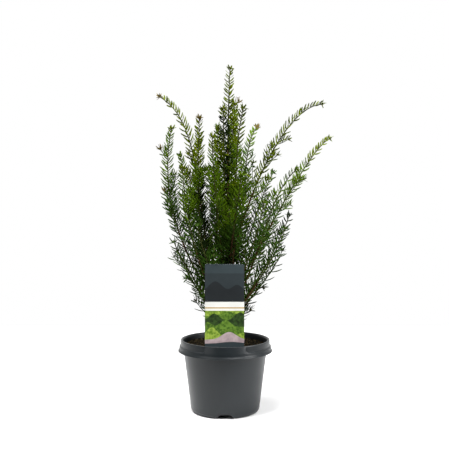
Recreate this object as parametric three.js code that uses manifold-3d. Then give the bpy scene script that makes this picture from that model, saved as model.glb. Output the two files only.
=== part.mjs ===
// A young English yew in a nursery pot: the pot, its soil, a plain card stuck in the soil, a short
// trunk, the boughs that rise from it, and on each bough one leafy shoot with its twigs and needles.
// Millimetres, +Z up. The origin is on the floor, under the middle of the pot.

import * as THREE from "three";
import { mergeVertices } from "three/addons/utils/BufferGeometryUtils.js";
import Module from "manifold-3d";

const wasm = await Module();
wasm.setup();

const DEGREE = Math.PI / 180;
const UP = new THREE.Vector3(0, 0, 1);

// Clearance that neighbouring pieces keep
const GAP = 0.3;

// Pot: a thin wall with a hanging rim, on a ring foot with drain channels
const POT_HEIGHT = 130;
const POT_SIDES = 40;
const WALL = 1.2;
const BODY_FOOT_RADIUS = 63.7;
const BODY_FOOT_HEIGHT = 14;
const BODY_TOP_RADIUS = 76.3;
const BODY_TOP_HEIGHT = 111;
const SHOULDER_HEIGHT = 117;
const RIM_HEM_HEIGHT = 109;
const RIM_SKIRT_RADIUS = 86.2;
const RIM_TIER_RADIUS = 83.8;
const RIM_TIER_HEIGHT = 118.5;
const RIM_TIER_SLOPE = 0.5;
const RIM_BAND_RADIUS = 81.7;
const RIM_TOP_RADIUS = 81.3;
const RIM_ROUNDING = 1;
const LIP_RADIUS = 78.2;
const PANEL_WIDTH = 74;
const PANEL_INSET = 0.1;
const FOOT_HEIGHT = 8;
const FOOT_RING_INNER = 46;
const FOOT_RING_OUTER = 54;
const FOOT_BOSS_RADIUS = 14;
const FOOT_DRAFT = 0.8;
const FOOT_EDGE_PULL = 1.5;
const FLOOR_TOP = 10;
const FLOOR_CORNER = 4;
const CHANNELS = 4;
const CHANNEL_TOP_WIDTH = 19;
const CHANNEL_FOOT_WIDTH = 32;
const CHANNEL_LENGTH = 30;
const CHANNEL_START = 41;
const DRAIN_RADIUS = 4;
const DRAIN_SIDES = 10;
const DRAINS = 4;
const DRAIN_CIRCLE = 34;

// Soil, slightly mounded round the trunk
const SOIL_TOP = 122;
const SOIL_EDGE_TOP = 119.5;
const SOIL_FLAT_RADIUS = 14;
const SOIL_BROW_RADIUS = 44;
const SOIL_BROW_DROP = 0.6;
const SOIL_SIDES = 28;

// Card: a thin upright sheet with a narrow tongue pushed into the soil
const CARD_CENTRE = -1.2;
const CARD_WIDTH = 68.4;
const CARD_TOP = 272;
const CARD_FOOT = 123.4;
const CARD_THICKNESS = 0.6;
const CARD_FRONT = -67;
const CARD_CORNER = 1.5;
const TONGUE_WIDTH = 22;
const TONGUE_FOOT = 94;
const TONGUE_CORNER = 3;

// Trunk: it leaves the soil with a root flare, and its top carries the leading shoot
const TRUNK_CURVE = new THREE.CubicBezierCurve3(
  new THREE.Vector3(0, 0, 122),
  new THREE.Vector3(10, 2, 260),
  new THREE.Vector3(0, 0, 430),
  new THREE.Vector3(8.6, 0, 626),
);
const TRUNK_FOOT = SOIL_TOP + GAP;
const TRUNK_TOP = 420;
const TRUNK_LEVELS = [TRUNK_FOOT, 125, 129, 134, 142, 155, 170, 190, 215, 245, 280, 320, 360, 395, TRUNK_TOP];
const TRUNK_FOOT_RADIUS = 5;
const TRUNK_TOP_RADIUS = 2.2;
const ROOT_FLARE = 3;
const ROOT_FLARE_HEIGHT = 7;
const TRUNK_SIDES = 8;

// Boughs and stems
const BOUGH_FOOT_RADIUS = 2.2;
const SHOOT_TIP_RADIUS = 0.75;
const BOUGH_SHARE = 0.27;
const BOUGH_SIDES = 5;
const BOUGH_STEP = 24;
const STEM_SIDES = 3;
const STEM_FATTER = 1.25;

// Twigs: they branch off a shoot by a seeded rule, between two shares of its leafy length
const TWIG_SPACING = 92;
const TWIG_FIRST = 0.08;
const TWIG_LAST = 0.62;
const TWIG_LONGEST = 62;
const TWIG_SHORTEST = 24;
const TWIG_VARIATION = 0.2;
const TWIG_ANGLE = 36 * DEGREE;
const TWIG_RADIUS = 0.95;
const TWIG_TIP_RADIUS = 0.6;
const TWIG_TRIES = 4;
const TWIG_AHEAD = { along: 0.5, leaving: 0.3, up: 0.4 };
const GOLDEN_ANGLE = 137.5 * DEGREE;
const SEED = 4711;
const SEED_STEP = 7919;

// How far a shoot's twigs and needles may stand off its main stem
const REACH = 58;

// Needles: each face of a stem is drawn out to a flat spike
const NEEDLE_LENGTH = 18.5;
const NEEDLE_STEP = 11;
const NEEDLE_LEAN = 50 * DEGREE;
const NEEDLE_ROOT_RADIUS = 3.2;
const NEEDLE_POINT_RADIUS = 0.15;
const NEEDLE_TRIES = [1, 0.72, 0.5];
const NEEDLE_VARIATION = 0.1;
const NEEDLE_WOBBLE = 9 * DEGREE;
const CARD_ROOM = 3;

// Towards a tip the needles get shorter and close up into a tuft
const TIP_TUFT = 8;
const TIP_CLOSING = 34;
const TIP_LEAN = 0.45;
const TIP_SHORTENING = 68;
const TIP_NEEDLE = 0.6;
const RING_TURN = 40 * DEGREE;
const COMBING = 0.35;

// Each shoot climbs in an upright plane at its bearing, counted from +X towards +Y. It leaves the
// trunk at the height foot, and lift, aim and tip are [distance from the origin, height].
const SHOOTS = [
  { name: "right_arch_high", bearing: -8, foot: 208, lift: [2, 300], aim: [92, 556], tip: [176, 556] },
  { name: "right_arch_low", bearing: 10, foot: 179, lift: [48, 275], aim: [162, 488], tip: [200, 500] },
  { name: "right_slim", bearing: -22, foot: 174, lift: [72, 268], aim: [75, 390], tip: [136, 438] },
  { name: "right_inner", bearing: 28, foot: 191, lift: [42, 290], aim: [68, 380], tip: [103, 438] },
  { name: "right_back", bearing: 50, foot: 206, lift: [66, 300], aim: [33, 480], tip: [97, 528] },
  { name: "right_mid", bearing: -6, foot: 160, lift: [56, 228], aim: [96, 300], tip: [117, 356] },
  { name: "right_front", bearing: -32, foot: 150, lift: [50, 215], aim: [100, 275], tip: [123, 334] },
  { name: "right_low", bearing: 20, foot: 149, lift: [42, 196], aim: [95, 245], tip: [115, 290] },
  { name: "right_foot", bearing: -10, foot: 135, lift: [22, 176], aim: [46, 226], tip: [70, 225] },
  { name: "left_arch", bearing: 173, foot: 197, lift: [68, 275], aim: [22, 520], tip: [123, 576] },
  { name: "left_mid", bearing: 206, foot: 184, lift: [74, 280], aim: [54, 460], tip: [52, 532] },
  { name: "left_tall", bearing: 184, foot: 174, lift: [76, 262], aim: [125, 390], tip: [98, 515] },
  { name: "left_slant", bearing: 148, foot: 160, lift: [50, 292], aim: [80, 400], tip: [102, 471] },
  { name: "left_front", bearing: 217, foot: 163, lift: [60, 245], aim: [90, 350], tip: [94, 440] },
  { name: "left_low", bearing: 196, foot: 153, lift: [42, 212], aim: [82, 272], tip: [96, 309] },
  { name: "left_sweep", bearing: 165, foot: 144, lift: [38, 195], aim: [78, 250], tip: [92, 289] },
  { name: "left_foot", bearing: 204, foot: 135, lift: [26, 180], aim: [56, 236], tip: [76, 244] },
  { name: "back_left", bearing: 122, foot: 202, lift: [58, 300], aim: [25, 430], tip: [26, 522] },
  { name: "mid_left", bearing: 250, foot: 190, lift: [18, 290], aim: [72, 420], tip: [66, 494] },
  { name: "mid_right", bearing: -66, foot: 186, lift: [58, 300], aim: [20, 450], tip: [77, 543] },
  { name: "mid_front", bearing: 265, foot: 234, lift: [18, 330], aim: [45, 430], tip: [40, 546] },
  { name: "back_right", bearing: 76, foot: 220, lift: [50, 312], aim: [25, 470], tip: [79, 559] },
  { name: "front_lean", bearing: 284, foot: 218, lift: [24, 300], aim: [75, 360], tip: [113, 425] },
  { name: "back_lean", bearing: 86, foot: 178, lift: [58, 270], aim: [80, 420], tip: [127, 510] },
  { name: "back_low", bearing: 102, foot: 162, lift: [48, 240], aim: [100, 300], tip: [112, 394] },
  { name: "front_right", bearing: -50, foot: 163, lift: [46, 260], aim: [85, 310], tip: [103, 379] },
  { name: "near_left", bearing: 242, foot: 170, lift: [45, 255], aim: [90, 290], tip: [100, 339] },
  { name: "far_left", bearing: 137, foot: 152, lift: [50, 240], aim: [100, 310], tip: [115, 394] },
  { name: "far_right", bearing: 44, foot: 166, lift: [50, 240], aim: [100, 310], tip: [115, 394] },
];

// The lowest shoots have leaves from the trunk on, so they have no bare bough
const LEAFY_FROM_TRUNK = ["right_foot", "left_foot", "left_sweep", "near_left"];

// Side shoots that stand out of the crown's outline: where they leave their shoot's leafy part,
// the bearing and the rise above level in degrees, and the length
const FORKS = [
  { from: "leader", at: 0.6, bearing: 0, rise: 42, length: 30 },
  { from: "leader", at: 0.52, bearing: 185, rise: 60, length: 26 },
  { from: "right_arch_high", at: 0.62, bearing: -5, rise: 12, length: 24 },
  { from: "right_arch_high", at: 0.5, bearing: -15, rise: 20, length: 24 },
  { from: "right_arch_low", at: 0.61, bearing: 5, rise: 8, length: 18 },
  { from: "right_arch_low", at: 0.38, bearing: 15, rise: 20, length: 28 },
  { from: "right_back", at: 0.55, bearing: 10, rise: 45, length: 28 },
  { from: "right_back", at: 0.42, bearing: 5, rise: 45, length: 28 },
  { from: "left_arch", at: 0.36, bearing: 180, rise: 50, length: 34 },
  { from: "left_arch", at: 0.5, bearing: 185, rise: 55, length: 26 },
  { from: "left_arch", at: 0.4, bearing: 10, rise: 50, length: 26 },
  { from: "left_tall", at: 0.8, bearing: 180, rise: 38, length: 22 },
  { from: "left_tall", at: 0.48, bearing: 178, rise: 62, length: 30 },
  { from: "right_foot", at: 0.35, bearing: -5, rise: 12, length: 30 },
];

const ANTHRACITE = new THREE.MeshStandardMaterial({ color: 0x43474a, roughness: 0.42, metalness: 0 });
const PEAT = new THREE.MeshStandardMaterial({ color: 0x3a2a20, roughness: 1, metalness: 0 });
const CARD = new THREE.MeshStandardMaterial({ color: 0x4a545c, roughness: 0.45, metalness: 0 });
const BARK = new THREE.MeshStandardMaterial({ color: 0x5d4030, roughness: 0.9, metalness: 0 });
const YOUNG_BARK = new THREE.MeshStandardMaterial({ color: 0x6b6a33, roughness: 0.8, metalness: 0 });
const LEAF = new THREE.MeshStandardMaterial({ color: 0x38511f, roughness: 0.6, metalness: 0 });

// Solids and meshes

function solidFrom(positions, triangles) {
  return new wasm.Manifold(
    new wasm.Mesh({
      numProp: 3,
      vertProperties: new Float32Array(positions),
      triVerts: new Uint32Array(triangles),
    }),
  );
}

function solidOf(geometry) {
  geometry.deleteAttribute("normal");
  geometry.deleteAttribute("uv");
  const merged = mergeVertices(geometry, 1e-4);
  return solidFrom(merged.attributes.position.array, merged.index.array);
}

// The largest piece of a solid, so that a loose scrap or a sealed hollow is left out
function mainBody(solid) {
  const bodies = solid.decompose();
  return bodies.reduce((best, body) => (body.volume() > best.volume() ? body : best));
}

function meshOf(name, solid, material) {
  const made = solid.getMesh();
  const geometry = new THREE.BufferGeometry();
  geometry.setAttribute("position", new THREE.BufferAttribute(made.vertProperties, 3));
  geometry.setIndex(new THREE.BufferAttribute(made.triVerts, 1));
  geometry.computeVertexNormals();
  const mesh = new THREE.Mesh(geometry, material);
  mesh.name = name;
  return mesh;
}

function turnedSolid(outline, sides) {
  const profile = outline.map(([radius, height]) => new THREE.Vector2(radius, height));
  return solidOf(new THREE.LatheGeometry(profile, sides).rotateX(Math.PI / 2));
}

// Pot

function wallRadius(height) {
  const share = (height - BODY_FOOT_HEIGHT) / (BODY_TOP_HEIGHT - BODY_FOOT_HEIGHT);
  return THREE.MathUtils.lerp(BODY_FOOT_RADIUS, BODY_TOP_RADIUS, share);
}

function potOutline() {
  const footEdge = new THREE.QuadraticBezierCurve(
    new THREE.Vector2(FOOT_RING_OUTER, 0),
    new THREE.Vector2(BODY_FOOT_RADIUS - FOOT_EDGE_PULL, 0),
    new THREE.Vector2(BODY_FOOT_RADIUS, BODY_FOOT_HEIGHT),
  );
  const underside = [
    [0, 0],
    [FOOT_BOSS_RADIUS, 0],
    [FOOT_BOSS_RADIUS + FOOT_DRAFT, FOOT_HEIGHT],
    [FOOT_RING_INNER - FOOT_DRAFT, FOOT_HEIGHT],
    [FOOT_RING_INNER, 0],
  ];
  const underRim = POT_HEIGHT - 2 * WALL;
  const outside = [
    [BODY_TOP_RADIUS, BODY_TOP_HEIGHT],
    [wallRadius(SHOULDER_HEIGHT), SHOULDER_HEIGHT],
    [LIP_RADIUS - WALL / 2, underRim],
    [RIM_BAND_RADIUS - WALL, underRim],
    [RIM_BAND_RADIUS - WALL, RIM_TIER_HEIGHT - WALL],
    [RIM_SKIRT_RADIUS - WALL, RIM_HEM_HEIGHT],
    [RIM_SKIRT_RADIUS - RIM_ROUNDING / 2, RIM_HEM_HEIGHT],
    [RIM_SKIRT_RADIUS, RIM_HEM_HEIGHT + RIM_ROUNDING],
    [RIM_TIER_RADIUS, RIM_TIER_HEIGHT],
    [RIM_BAND_RADIUS, RIM_TIER_HEIGHT + RIM_TIER_SLOPE],
    [RIM_TOP_RADIUS, POT_HEIGHT - RIM_ROUNDING],
    [RIM_TOP_RADIUS - RIM_ROUNDING, POT_HEIGHT],
  ];
  const inside = [
    [LIP_RADIUS, POT_HEIGHT],
    [LIP_RADIUS - WALL - GAP, underRim],
    [wallRadius(SHOULDER_HEIGHT) - WALL, SHOULDER_HEIGHT],
    [wallRadius(BODY_FOOT_HEIGHT) - WALL, BODY_FOOT_HEIGHT],
    [BODY_FOOT_RADIUS - FLOOR_CORNER, FLOOR_TOP],
    [0, FLOOR_TOP],
  ];
  return [
    ...underside,
    ...footEdge.getPoints(4).map((point) => [point.x, point.y]),
    ...outside,
    ...inside,
  ];
}

// At the front the rim isn't drawn in above its tier, but runs on as one slope
function rimPanel() {
  const inner = RIM_BAND_RADIUS - WALL / 2;
  const slope = turnedSolid(
    [
      [inner, RIM_TIER_HEIGHT - RIM_TIER_SLOPE],
      [RIM_TIER_RADIUS - PANEL_INSET, RIM_TIER_HEIGHT - RIM_TIER_SLOPE],
      [RIM_TOP_RADIUS - PANEL_INSET, POT_HEIGHT - RIM_ROUNDING],
      [inner, POT_HEIGHT - RIM_ROUNDING],
      [inner, RIM_TIER_HEIGHT - RIM_TIER_SLOPE],
    ],
    POT_SIDES,
  );
  const front = new THREE.BoxGeometry(PANEL_WIDTH, RIM_SKIRT_RADIUS, POT_HEIGHT);
  front.translate(0, -RIM_SKIRT_RADIUS / 2 - PANEL_WIDTH / 2, POT_HEIGHT / 2);
  return slope.intersect(solidOf(front));
}

function channelCutter(turn) {
  const half = CHANNEL_FOOT_WIDTH / 2;
  const halfTop = CHANNEL_TOP_WIDTH / 2;
  const section = new THREE.Shape([
    new THREE.Vector2(-half - 1, -1),
    new THREE.Vector2(half + 1, -1),
    new THREE.Vector2(halfTop, FOOT_HEIGHT),
    new THREE.Vector2(-halfTop, FOOT_HEIGHT),
  ]);
  const bar = new THREE.ExtrudeGeometry(section, { depth: CHANNEL_LENGTH, bevelEnabled: false });
  bar.rotateX(Math.PI / 2).translate(0, -CHANNEL_START, 0).rotateZ(turn);
  return solidOf(bar);
}

function drainCutter(turn) {
  const hole = new THREE.CylinderGeometry(DRAIN_RADIUS, DRAIN_RADIUS, 2 * FLOOR_TOP, DRAIN_SIDES);
  hole.rotateX(Math.PI / 2).translate(DRAIN_CIRCLE, 0, FLOOR_TOP).rotateZ(turn);
  return solidOf(hole);
}

function makePot() {
  let pot = turnedSolid(potOutline(), POT_SIDES).add(rimPanel());
  for (let i = 0; i < CHANNELS; i++) {
    pot = pot.subtract(channelCutter((i * 2 * Math.PI) / CHANNELS));
  }
  for (let i = 0; i < DRAINS; i++) {
    pot = pot.subtract(drainCutter(((i + 0.5) * 2 * Math.PI) / DRAINS));
  }
  return meshOf("pot", mainBody(pot), ANTHRACITE);
}

// Soil

function makeSoil() {
  const clear = WALL + GAP;
  const soil = turnedSolid(
    [
      [0, FLOOR_TOP + GAP],
      [BODY_FOOT_RADIUS - FLOOR_CORNER - GAP, FLOOR_TOP + GAP],
      [wallRadius(BODY_FOOT_HEIGHT) - clear, BODY_FOOT_HEIGHT + GAP],
      [wallRadius(SHOULDER_HEIGHT) - clear, SHOULDER_HEIGHT],
      [wallRadius(SHOULDER_HEIGHT) - clear, SOIL_EDGE_TOP],
      [SOIL_BROW_RADIUS, SOIL_TOP - SOIL_BROW_DROP],
      [SOIL_FLAT_RADIUS, SOIL_TOP],
      [0, SOIL_TOP],
    ],
    SOIL_SIDES,
  );
  const slot = new THREE.BoxGeometry(
    TONGUE_WIDTH + 2 * GAP,
    CARD_THICKNESS + 2 * GAP,
    SOIL_TOP - TONGUE_FOOT + GAP,
  );
  slot.translate(CARD_CENTRE, CARD_FRONT + CARD_THICKNESS / 2, (SOIL_TOP + TONGUE_FOOT - GAP) / 2);
  return meshOf("soil", mainBody(soil.subtract(solidOf(slot))), PEAT);
}

// Card

function makeCard() {
  const half = CARD_WIDTH / 2;
  const halfTongue = TONGUE_WIDTH / 2;
  const outline = new THREE.Shape();
  outline.moveTo(-halfTongue + TONGUE_CORNER, TONGUE_FOOT);
  outline.lineTo(halfTongue - TONGUE_CORNER, TONGUE_FOOT);
  outline.lineTo(halfTongue, TONGUE_FOOT + TONGUE_CORNER);
  outline.lineTo(halfTongue, CARD_FOOT);
  outline.lineTo(half, CARD_FOOT);
  outline.lineTo(half, CARD_TOP - CARD_CORNER);
  outline.lineTo(half - CARD_CORNER, CARD_TOP);
  outline.lineTo(-half + CARD_CORNER, CARD_TOP);
  outline.lineTo(-half, CARD_TOP - CARD_CORNER);
  outline.lineTo(-half, CARD_FOOT);
  outline.lineTo(-halfTongue, CARD_FOOT);
  outline.lineTo(-halfTongue, TONGUE_FOOT + TONGUE_CORNER);
  const sheet = new THREE.ExtrudeGeometry(outline, { depth: CARD_THICKNESS, bevelEnabled: false });
  sheet.rotateX(Math.PI / 2).translate(CARD_CENTRE, CARD_FRONT + CARD_THICKNESS, 0);
  return meshOf("label_card", solidOf(sheet), CARD);
}

// Rings along a limb

// Rings square to a curve, carried along it without twisting, each turned further by turn
function ringsAlong(curve, from, to, count, radiusAt, turn = 0) {
  const rings = [];
  let out = null;
  for (let i = 0; i <= count; i++) {
    const share = THREE.MathUtils.lerp(from, to, i / count);
    const along = curve.getTangentAt(share);
    const start = out ?? (Math.abs(along.z) < 0.95 ? UP : new THREE.Vector3(1, 0, 0));
    out = start.clone().addScaledVector(along, -start.dot(along)).normalize();
    const across = along.clone().cross(out);
    const centre = curve.getPointAt(share);
    rings.push({ centre, along, out, across, radius: radiusAt(share), turn: i * turn });
  }
  return rings;
}

function radialOf(ring, angle) {
  const turned = angle + ring.turn;
  return ring.out
    .clone()
    .multiplyScalar(Math.cos(turned))
    .addScaledVector(ring.across, Math.sin(turned));
}

// A closed solid round a row of rings. needleOn(step, side) may give the point that a face is drawn
// out to, and endPoint the point that closes the far end.
function solidRound(rings, sides, needleOn = () => null, endPoint = null) {
  const positions = [];
  const triangles = [];
  const corner = (ring, side) => ring * sides + (side % sides);
  const add = (point) => positions.push(point.x, point.y, point.z) / 3 - 1;
  for (const ring of rings) {
    for (let side = 0; side < sides; side++) {
      add(radialOf(ring, (side * 2 * Math.PI) / sides).multiplyScalar(ring.radius).add(ring.centre));
    }
  }
  const fan = (loop, point) => {
    const tip = add(point);
    loop.forEach((from, i) => triangles.push(from, loop[(i + 1) % loop.length], tip));
  };
  const flat = (loop) => {
    for (let i = 1; i < loop.length - 1; i++) triangles.push(loop[0], loop[i], loop[i + 1]);
  };
  for (let step = 0; step < rings.length - 1; step++) {
    for (let side = 0; side < sides; side++) {
      const loop = [
        corner(step, side),
        corner(step, side + 1),
        corner(step + 1, side + 1),
        corner(step + 1, side),
      ];
      const point = needleOn(step, side);
      if (point) fan(loop, point);
      else flat(loop);
    }
  }
  const foot = Array.from({ length: sides }, (_, side) => corner(0, sides - 1 - side));
  const end = Array.from({ length: sides }, (_, side) => corner(rings.length - 1, side));
  flat(foot);
  if (endPoint) fan(end, endPoint);
  else flat(end);
  return solidFrom(positions, triangles);
}

// Trunk

// Share of a rising curve's length where it reaches a height
function shareAtHeight(curve, height) {
  let low = 0;
  let high = 1;
  while (high - low > 1e-7) {
    const middle = (low + high) / 2;
    if (curve.getPointAt(middle).z < height) low = middle;
    else high = middle;
  }
  return low;
}

function trunkAtHeight(height) {
  return TRUNK_CURVE.getPointAt(shareAtHeight(TRUNK_CURVE, height));
}

function trunkRadius(height) {
  const share = (height - SOIL_TOP) / (TRUNK_TOP - SOIL_TOP);
  const flare = ROOT_FLARE * Math.exp(-(height - TRUNK_FOOT) / ROOT_FLARE_HEIGHT);
  return THREE.MathUtils.lerp(TRUNK_FOOT_RADIUS, TRUNK_TOP_RADIUS, share) + flare;
}

function trunkSolid(grow) {
  const rings = TRUNK_LEVELS.map((height) => ({
    centre: trunkAtHeight(height),
    out: new THREE.Vector3(1, 0, 0),
    across: new THREE.Vector3(0, 1, 0),
    radius: trunkRadius(height) + grow,
    turn: 0,
  }));
  return solidRound(rings, TRUNK_SIDES);
}

// Paths of shoots and twigs

function shootCurve({ bearing, foot, lift, aim, tip }) {
  const root = trunkAtHeight(foot);
  const place = ([distance, height], share) =>
    new THREE.Vector3(
      root.x * share + distance * Math.cos(bearing * DEGREE),
      root.y * share + distance * Math.sin(bearing * DEGREE),
      height,
    );
  return new THREE.CubicBezierCurve3(root, place(lift, 2 / 3), place(aim, 1 / 3), place(tip, 0));
}

function shootRadius(share) {
  return THREE.MathUtils.lerp(BOUGH_FOOT_RADIUS, SHOOT_TIP_RADIUS, share);
}

function twigRadius(share) {
  return THREE.MathUtils.lerp(TWIG_RADIUS, TWIG_TIP_RADIUS, share);
}

// A twig leaves its stem one way, then bends along the stem and upwards
function twigCurve(root, along, leaving, length) {
  const ahead = along
    .clone()
    .multiplyScalar(TWIG_AHEAD.along)
    .addScaledVector(leaving, TWIG_AHEAD.leaving)
    .addScaledVector(UP, TWIG_AHEAD.up)
    .normalize();
  const bend = root.clone().addScaledVector(leaving, length / 2);
  const end = bend.clone().addScaledVector(ahead, length / 2);
  return new THREE.QuadraticBezierCurve3(root, bend, end);
}

function seeded(seed) {
  let state = seed >>> 0;
  return () => {
    state = (Math.imul(state, 1664525) + 1013904223) >>> 0;
    return state / 4294967296;
  };
}

// On a stem that leans over, what grows round it is combed away from its underside
function combed(radial, along) {
  const upper = UP.clone().addScaledVector(along, -along.z);
  const leaning = upper.length();
  if (leaning < 0.05) return radial.clone();
  upper.normalize();
  const side = along.clone().cross(upper);
  const angle = Math.atan2(radial.dot(side), radial.dot(upper)) * (1 - COMBING * leaning);
  return upper.multiplyScalar(Math.cos(angle)).addScaledVector(side, Math.sin(angle));
}

// Room between limbs

// Nearest distance between two tapering round bars, surface to surface
function roomBetween(first, second) {
  const u = first.to.clone().sub(first.from);
  const v = second.to.clone().sub(second.from);
  const w = first.from.clone().sub(second.from);
  const uu = u.dot(u);
  const uv = u.dot(v);
  const vv = v.dot(v);
  const uw = u.dot(w);
  const vw = v.dot(w);
  const clamp = (value) => THREE.MathUtils.clamp(value, 0, 1);
  const spread = uu * vv - uv * uv;
  const firstGuess = spread > 1e-9 ? clamp((uv * vw - vv * uw) / spread) : 0;
  const t = clamp((uv * firstGuess + vw) / vv);
  const s = clamp((uv * t - uw) / uu);
  const between = w.addScaledVector(u, s).addScaledVector(v, -t).length();
  const firstRadius = THREE.MathUtils.lerp(first.fromRadius, first.toRadius, s);
  const secondRadius = THREE.MathUtils.lerp(second.fromRadius, second.toRadius, t);
  return between - firstRadius - secondRadius;
}

// Every limb, twig and needle that has its place, as short tapering bars
const bars = [];

function barFrom(from, to, fromRadius, toRadius, stem, shoot) {
  const middle = from.clone().add(to).multiplyScalar(0.5);
  const half = from.distanceTo(to) / 2 + fromRadius;
  return { from, to, fromRadius, toRadius, stem, shoot, middle, half };
}

function isClear(bar, others) {
  return others.every((other) => {
    if (other.stem === bar.stem) return true;
    if (other.middle.distanceTo(bar.middle) > bar.half + other.half + GAP) return true;
    return roomBetween(bar, other) > GAP;
  });
}

function barsOf(rings, stem, shoot) {
  return rings.slice(1).map((ring, i) => {
    const last = rings[i];
    return barFrom(last.centre, ring.centre, last.radius, ring.radius, stem, shoot);
  });
}

// Nothing grows into the pot, the soil or the card
function isOffPotAndCard(point) {
  const overPot = Math.hypot(point.x, point.y) < RIM_SKIRT_RADIUS + 1;
  if (overPot && point.z < POT_HEIGHT + 1) return false;
  const atCard = Math.abs(point.x - CARD_CENTRE) < CARD_WIDTH / 2 + 1 && point.z < CARD_TOP + 1;
  return !(atCard && Math.abs(point.y - CARD_FRONT) < CARD_ROOM);
}

// A shoot's own space lies within its reach round the main stem
function isInReach(point, shoot) {
  return shoot.stems[0].rings.some((ring) => ring.centre.distanceTo(point) < REACH);
}

// Stems of every leafy shoot: the main one, its forks and its seeded twigs

function stemOn(shoot, curve, from, radiusAt, bare) {
  const count = Math.max(2, Math.round((curve.getLength() * (1 - from)) / NEEDLE_STEP));
  const fat = (share) => radiusAt(share) * STEM_FATTER;
  const stem = { shoot, bare, rings: ringsAlong(curve, from, 1, count, fat, RING_TURN) };
  stem.bars = barsOf(stem.rings, stem, shoot);
  return stem;
}

// A side stem is kept where it is clear of every other shoot, apart from the one that it leaves
function addSideStem(shoot, curve) {
  const stem = stemOn(shoot, curve, 0, twigRadius, 1);
  const strangers = bars.filter((bar) => bar.shoot !== shoot);
  const fits = (bar) => isClear(bar, strangers) && isOffPotAndCard(bar.to) && isInReach(bar.to, shoot);
  if (!stem.bars.every(fits)) return false;
  bars.push(...stem.bars);
  shoot.stems.push(stem);
  return true;
}

function growForks(shoot) {
  for (const fork of FORKS.filter((row) => row.from === shoot.name)) {
    const share = THREE.MathUtils.lerp(shoot.from, 1, fork.at);
    const level = Math.cos(fork.rise * DEGREE);
    const leaving = new THREE.Vector3(
      level * Math.cos(fork.bearing * DEGREE),
      level * Math.sin(fork.bearing * DEGREE),
      Math.sin(fork.rise * DEGREE),
    );
    addSideStem(shoot, twigCurve(shoot.curve.getPointAt(share), leaving, leaving, fork.length));
  }
}

function growTwigs(shoot) {
  const { curve, from, random } = shoot;
  const count = Math.round((curve.getLength() * (1 - from)) / TWIG_SPACING);
  let roll = random() * 2 * Math.PI;
  for (let i = 0; i < count; i++) {
    const at = THREE.MathUtils.lerp(TWIG_FIRST, TWIG_LAST, (i + random()) / count);
    const [ring] = ringsAlong(curve, THREE.MathUtils.lerp(from, 1, at), 1, 1, shootRadius);
    const vary = 1 + TWIG_VARIATION * (2 * random() - 1);
    const length = THREE.MathUtils.lerp(TWIG_LONGEST, TWIG_SHORTEST, at) * vary;
    for (let attempt = 0; attempt < TWIG_TRIES; attempt++) {
      roll += GOLDEN_ANGLE;
      const leaving = ring.along
        .clone()
        .multiplyScalar(Math.cos(TWIG_ANGLE))
        .addScaledVector(combed(radialOf(ring, roll), ring.along), Math.sin(TWIG_ANGLE));
      if (addSideStem(shoot, twigCurve(ring.centre, ring.along, leaving, length))) break;
    }
  }
}

// Needles

function needlePoint(stem, step, side) {
  const { rings, shoot } = stem;
  const { random } = shoot;
  const ring = rings[step];
  const toTip = (rings.length - 1.5 - step) * NEEDLE_STEP;
  const closing = Math.min(1, TIP_LEAN + toTip / TIP_CLOSING);
  const lean = NEEDLE_LEAN * closing + (random() - 0.5) * NEEDLE_WOBBLE;
  const angle = ((side + 0.5) * 2 * Math.PI) / STEM_SIDES + RING_TURN / 2;
  const radial = combed(radialOf(ring, angle), ring.along);
  const root = ring.centre.clone().add(rings[step + 1].centre).multiplyScalar(0.5);
  const ahead = ring.along.clone().multiplyScalar(Math.cos(lean)).addScaledVector(radial, Math.sin(lean));
  const vary = 1 + NEEDLE_VARIATION * (2 * random() - 1);
  const length = NEEDLE_LENGTH * vary * Math.min(1, TIP_NEEDLE + toTip / TIP_SHORTENING);
  for (const share of NEEDLE_TRIES) {
    const point = root.clone().addScaledVector(ahead, length * share);
    const foot = root.clone().addScaledVector(ahead, ring.radius);
    const bar = barFrom(foot, point, NEEDLE_ROOT_RADIUS, NEEDLE_POINT_RADIUS, stem, shoot);
    if (isOffPotAndCard(point) && isInReach(point, shoot) && isClear(bar, bars)) {
      bars.push(bar);
      return point;
    }
  }
  return null;
}

function leafySolid(stem) {
  const last = stem.rings.at(-1);
  const endPoint = last.centre.clone().addScaledVector(last.along, TIP_TUFT);
  const needleOn = (step, side) => (step < stem.bare ? null : needlePoint(stem, step, side));
  return solidRound(stem.rings, STEM_SIDES, needleOn, endPoint);
}

// The plant

// Each shoot with its curve, the share of it where its leaves start, and its own random numbers
function shootPlan() {
  const leaderFrom = shareAtHeight(TRUNK_CURVE, TRUNK_TOP + GAP);
  const leaderRadius = (share) =>
    THREE.MathUtils.mapLinear(share, leaderFrom, 1, TRUNK_TOP_RADIUS, SHOOT_TIP_RADIUS);
  const leader = { name: "leader", curve: TRUNK_CURVE, from: leaderFrom, radiusAt: leaderRadius };
  const shoots = SHOOTS.map((row) => {
    const boughShare = LEAFY_FROM_TRUNK.includes(row.name) ? 0 : BOUGH_SHARE;
    return { name: row.name, curve: shootCurve(row), from: boughShare, radiusAt: shootRadius, boughShare };
  });
  return [leader, ...shoots].map((shoot, i) => ({ ...shoot, random: seeded(SEED + SEED_STEP * i) }));
}

function trunkBars() {
  return TRUNK_LEVELS.slice(1).map((height, i) => {
    const below = TRUNK_LEVELS[i];
    const ends = [trunkAtHeight(below), trunkAtHeight(height)];
    return barFrom(...ends, trunkRadius(below), trunkRadius(height), "trunk", "trunk");
  });
}

function makeBough(shoot, roundTrunk) {
  const count = Math.ceil((shoot.curve.getLength() * shoot.boughShare) / BOUGH_STEP);
  const rings = ringsAlong(shoot.curve, 0, shoot.boughShare, count, shootRadius);
  bars.push(...barsOf(rings, rings, rings).slice(1));
  const limb = solidRound(rings, BOUGH_SIDES).subtract(roundTrunk);
  return meshOf("bough_" + shoot.name, mainBody(limb), YOUNG_BARK);
}

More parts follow.
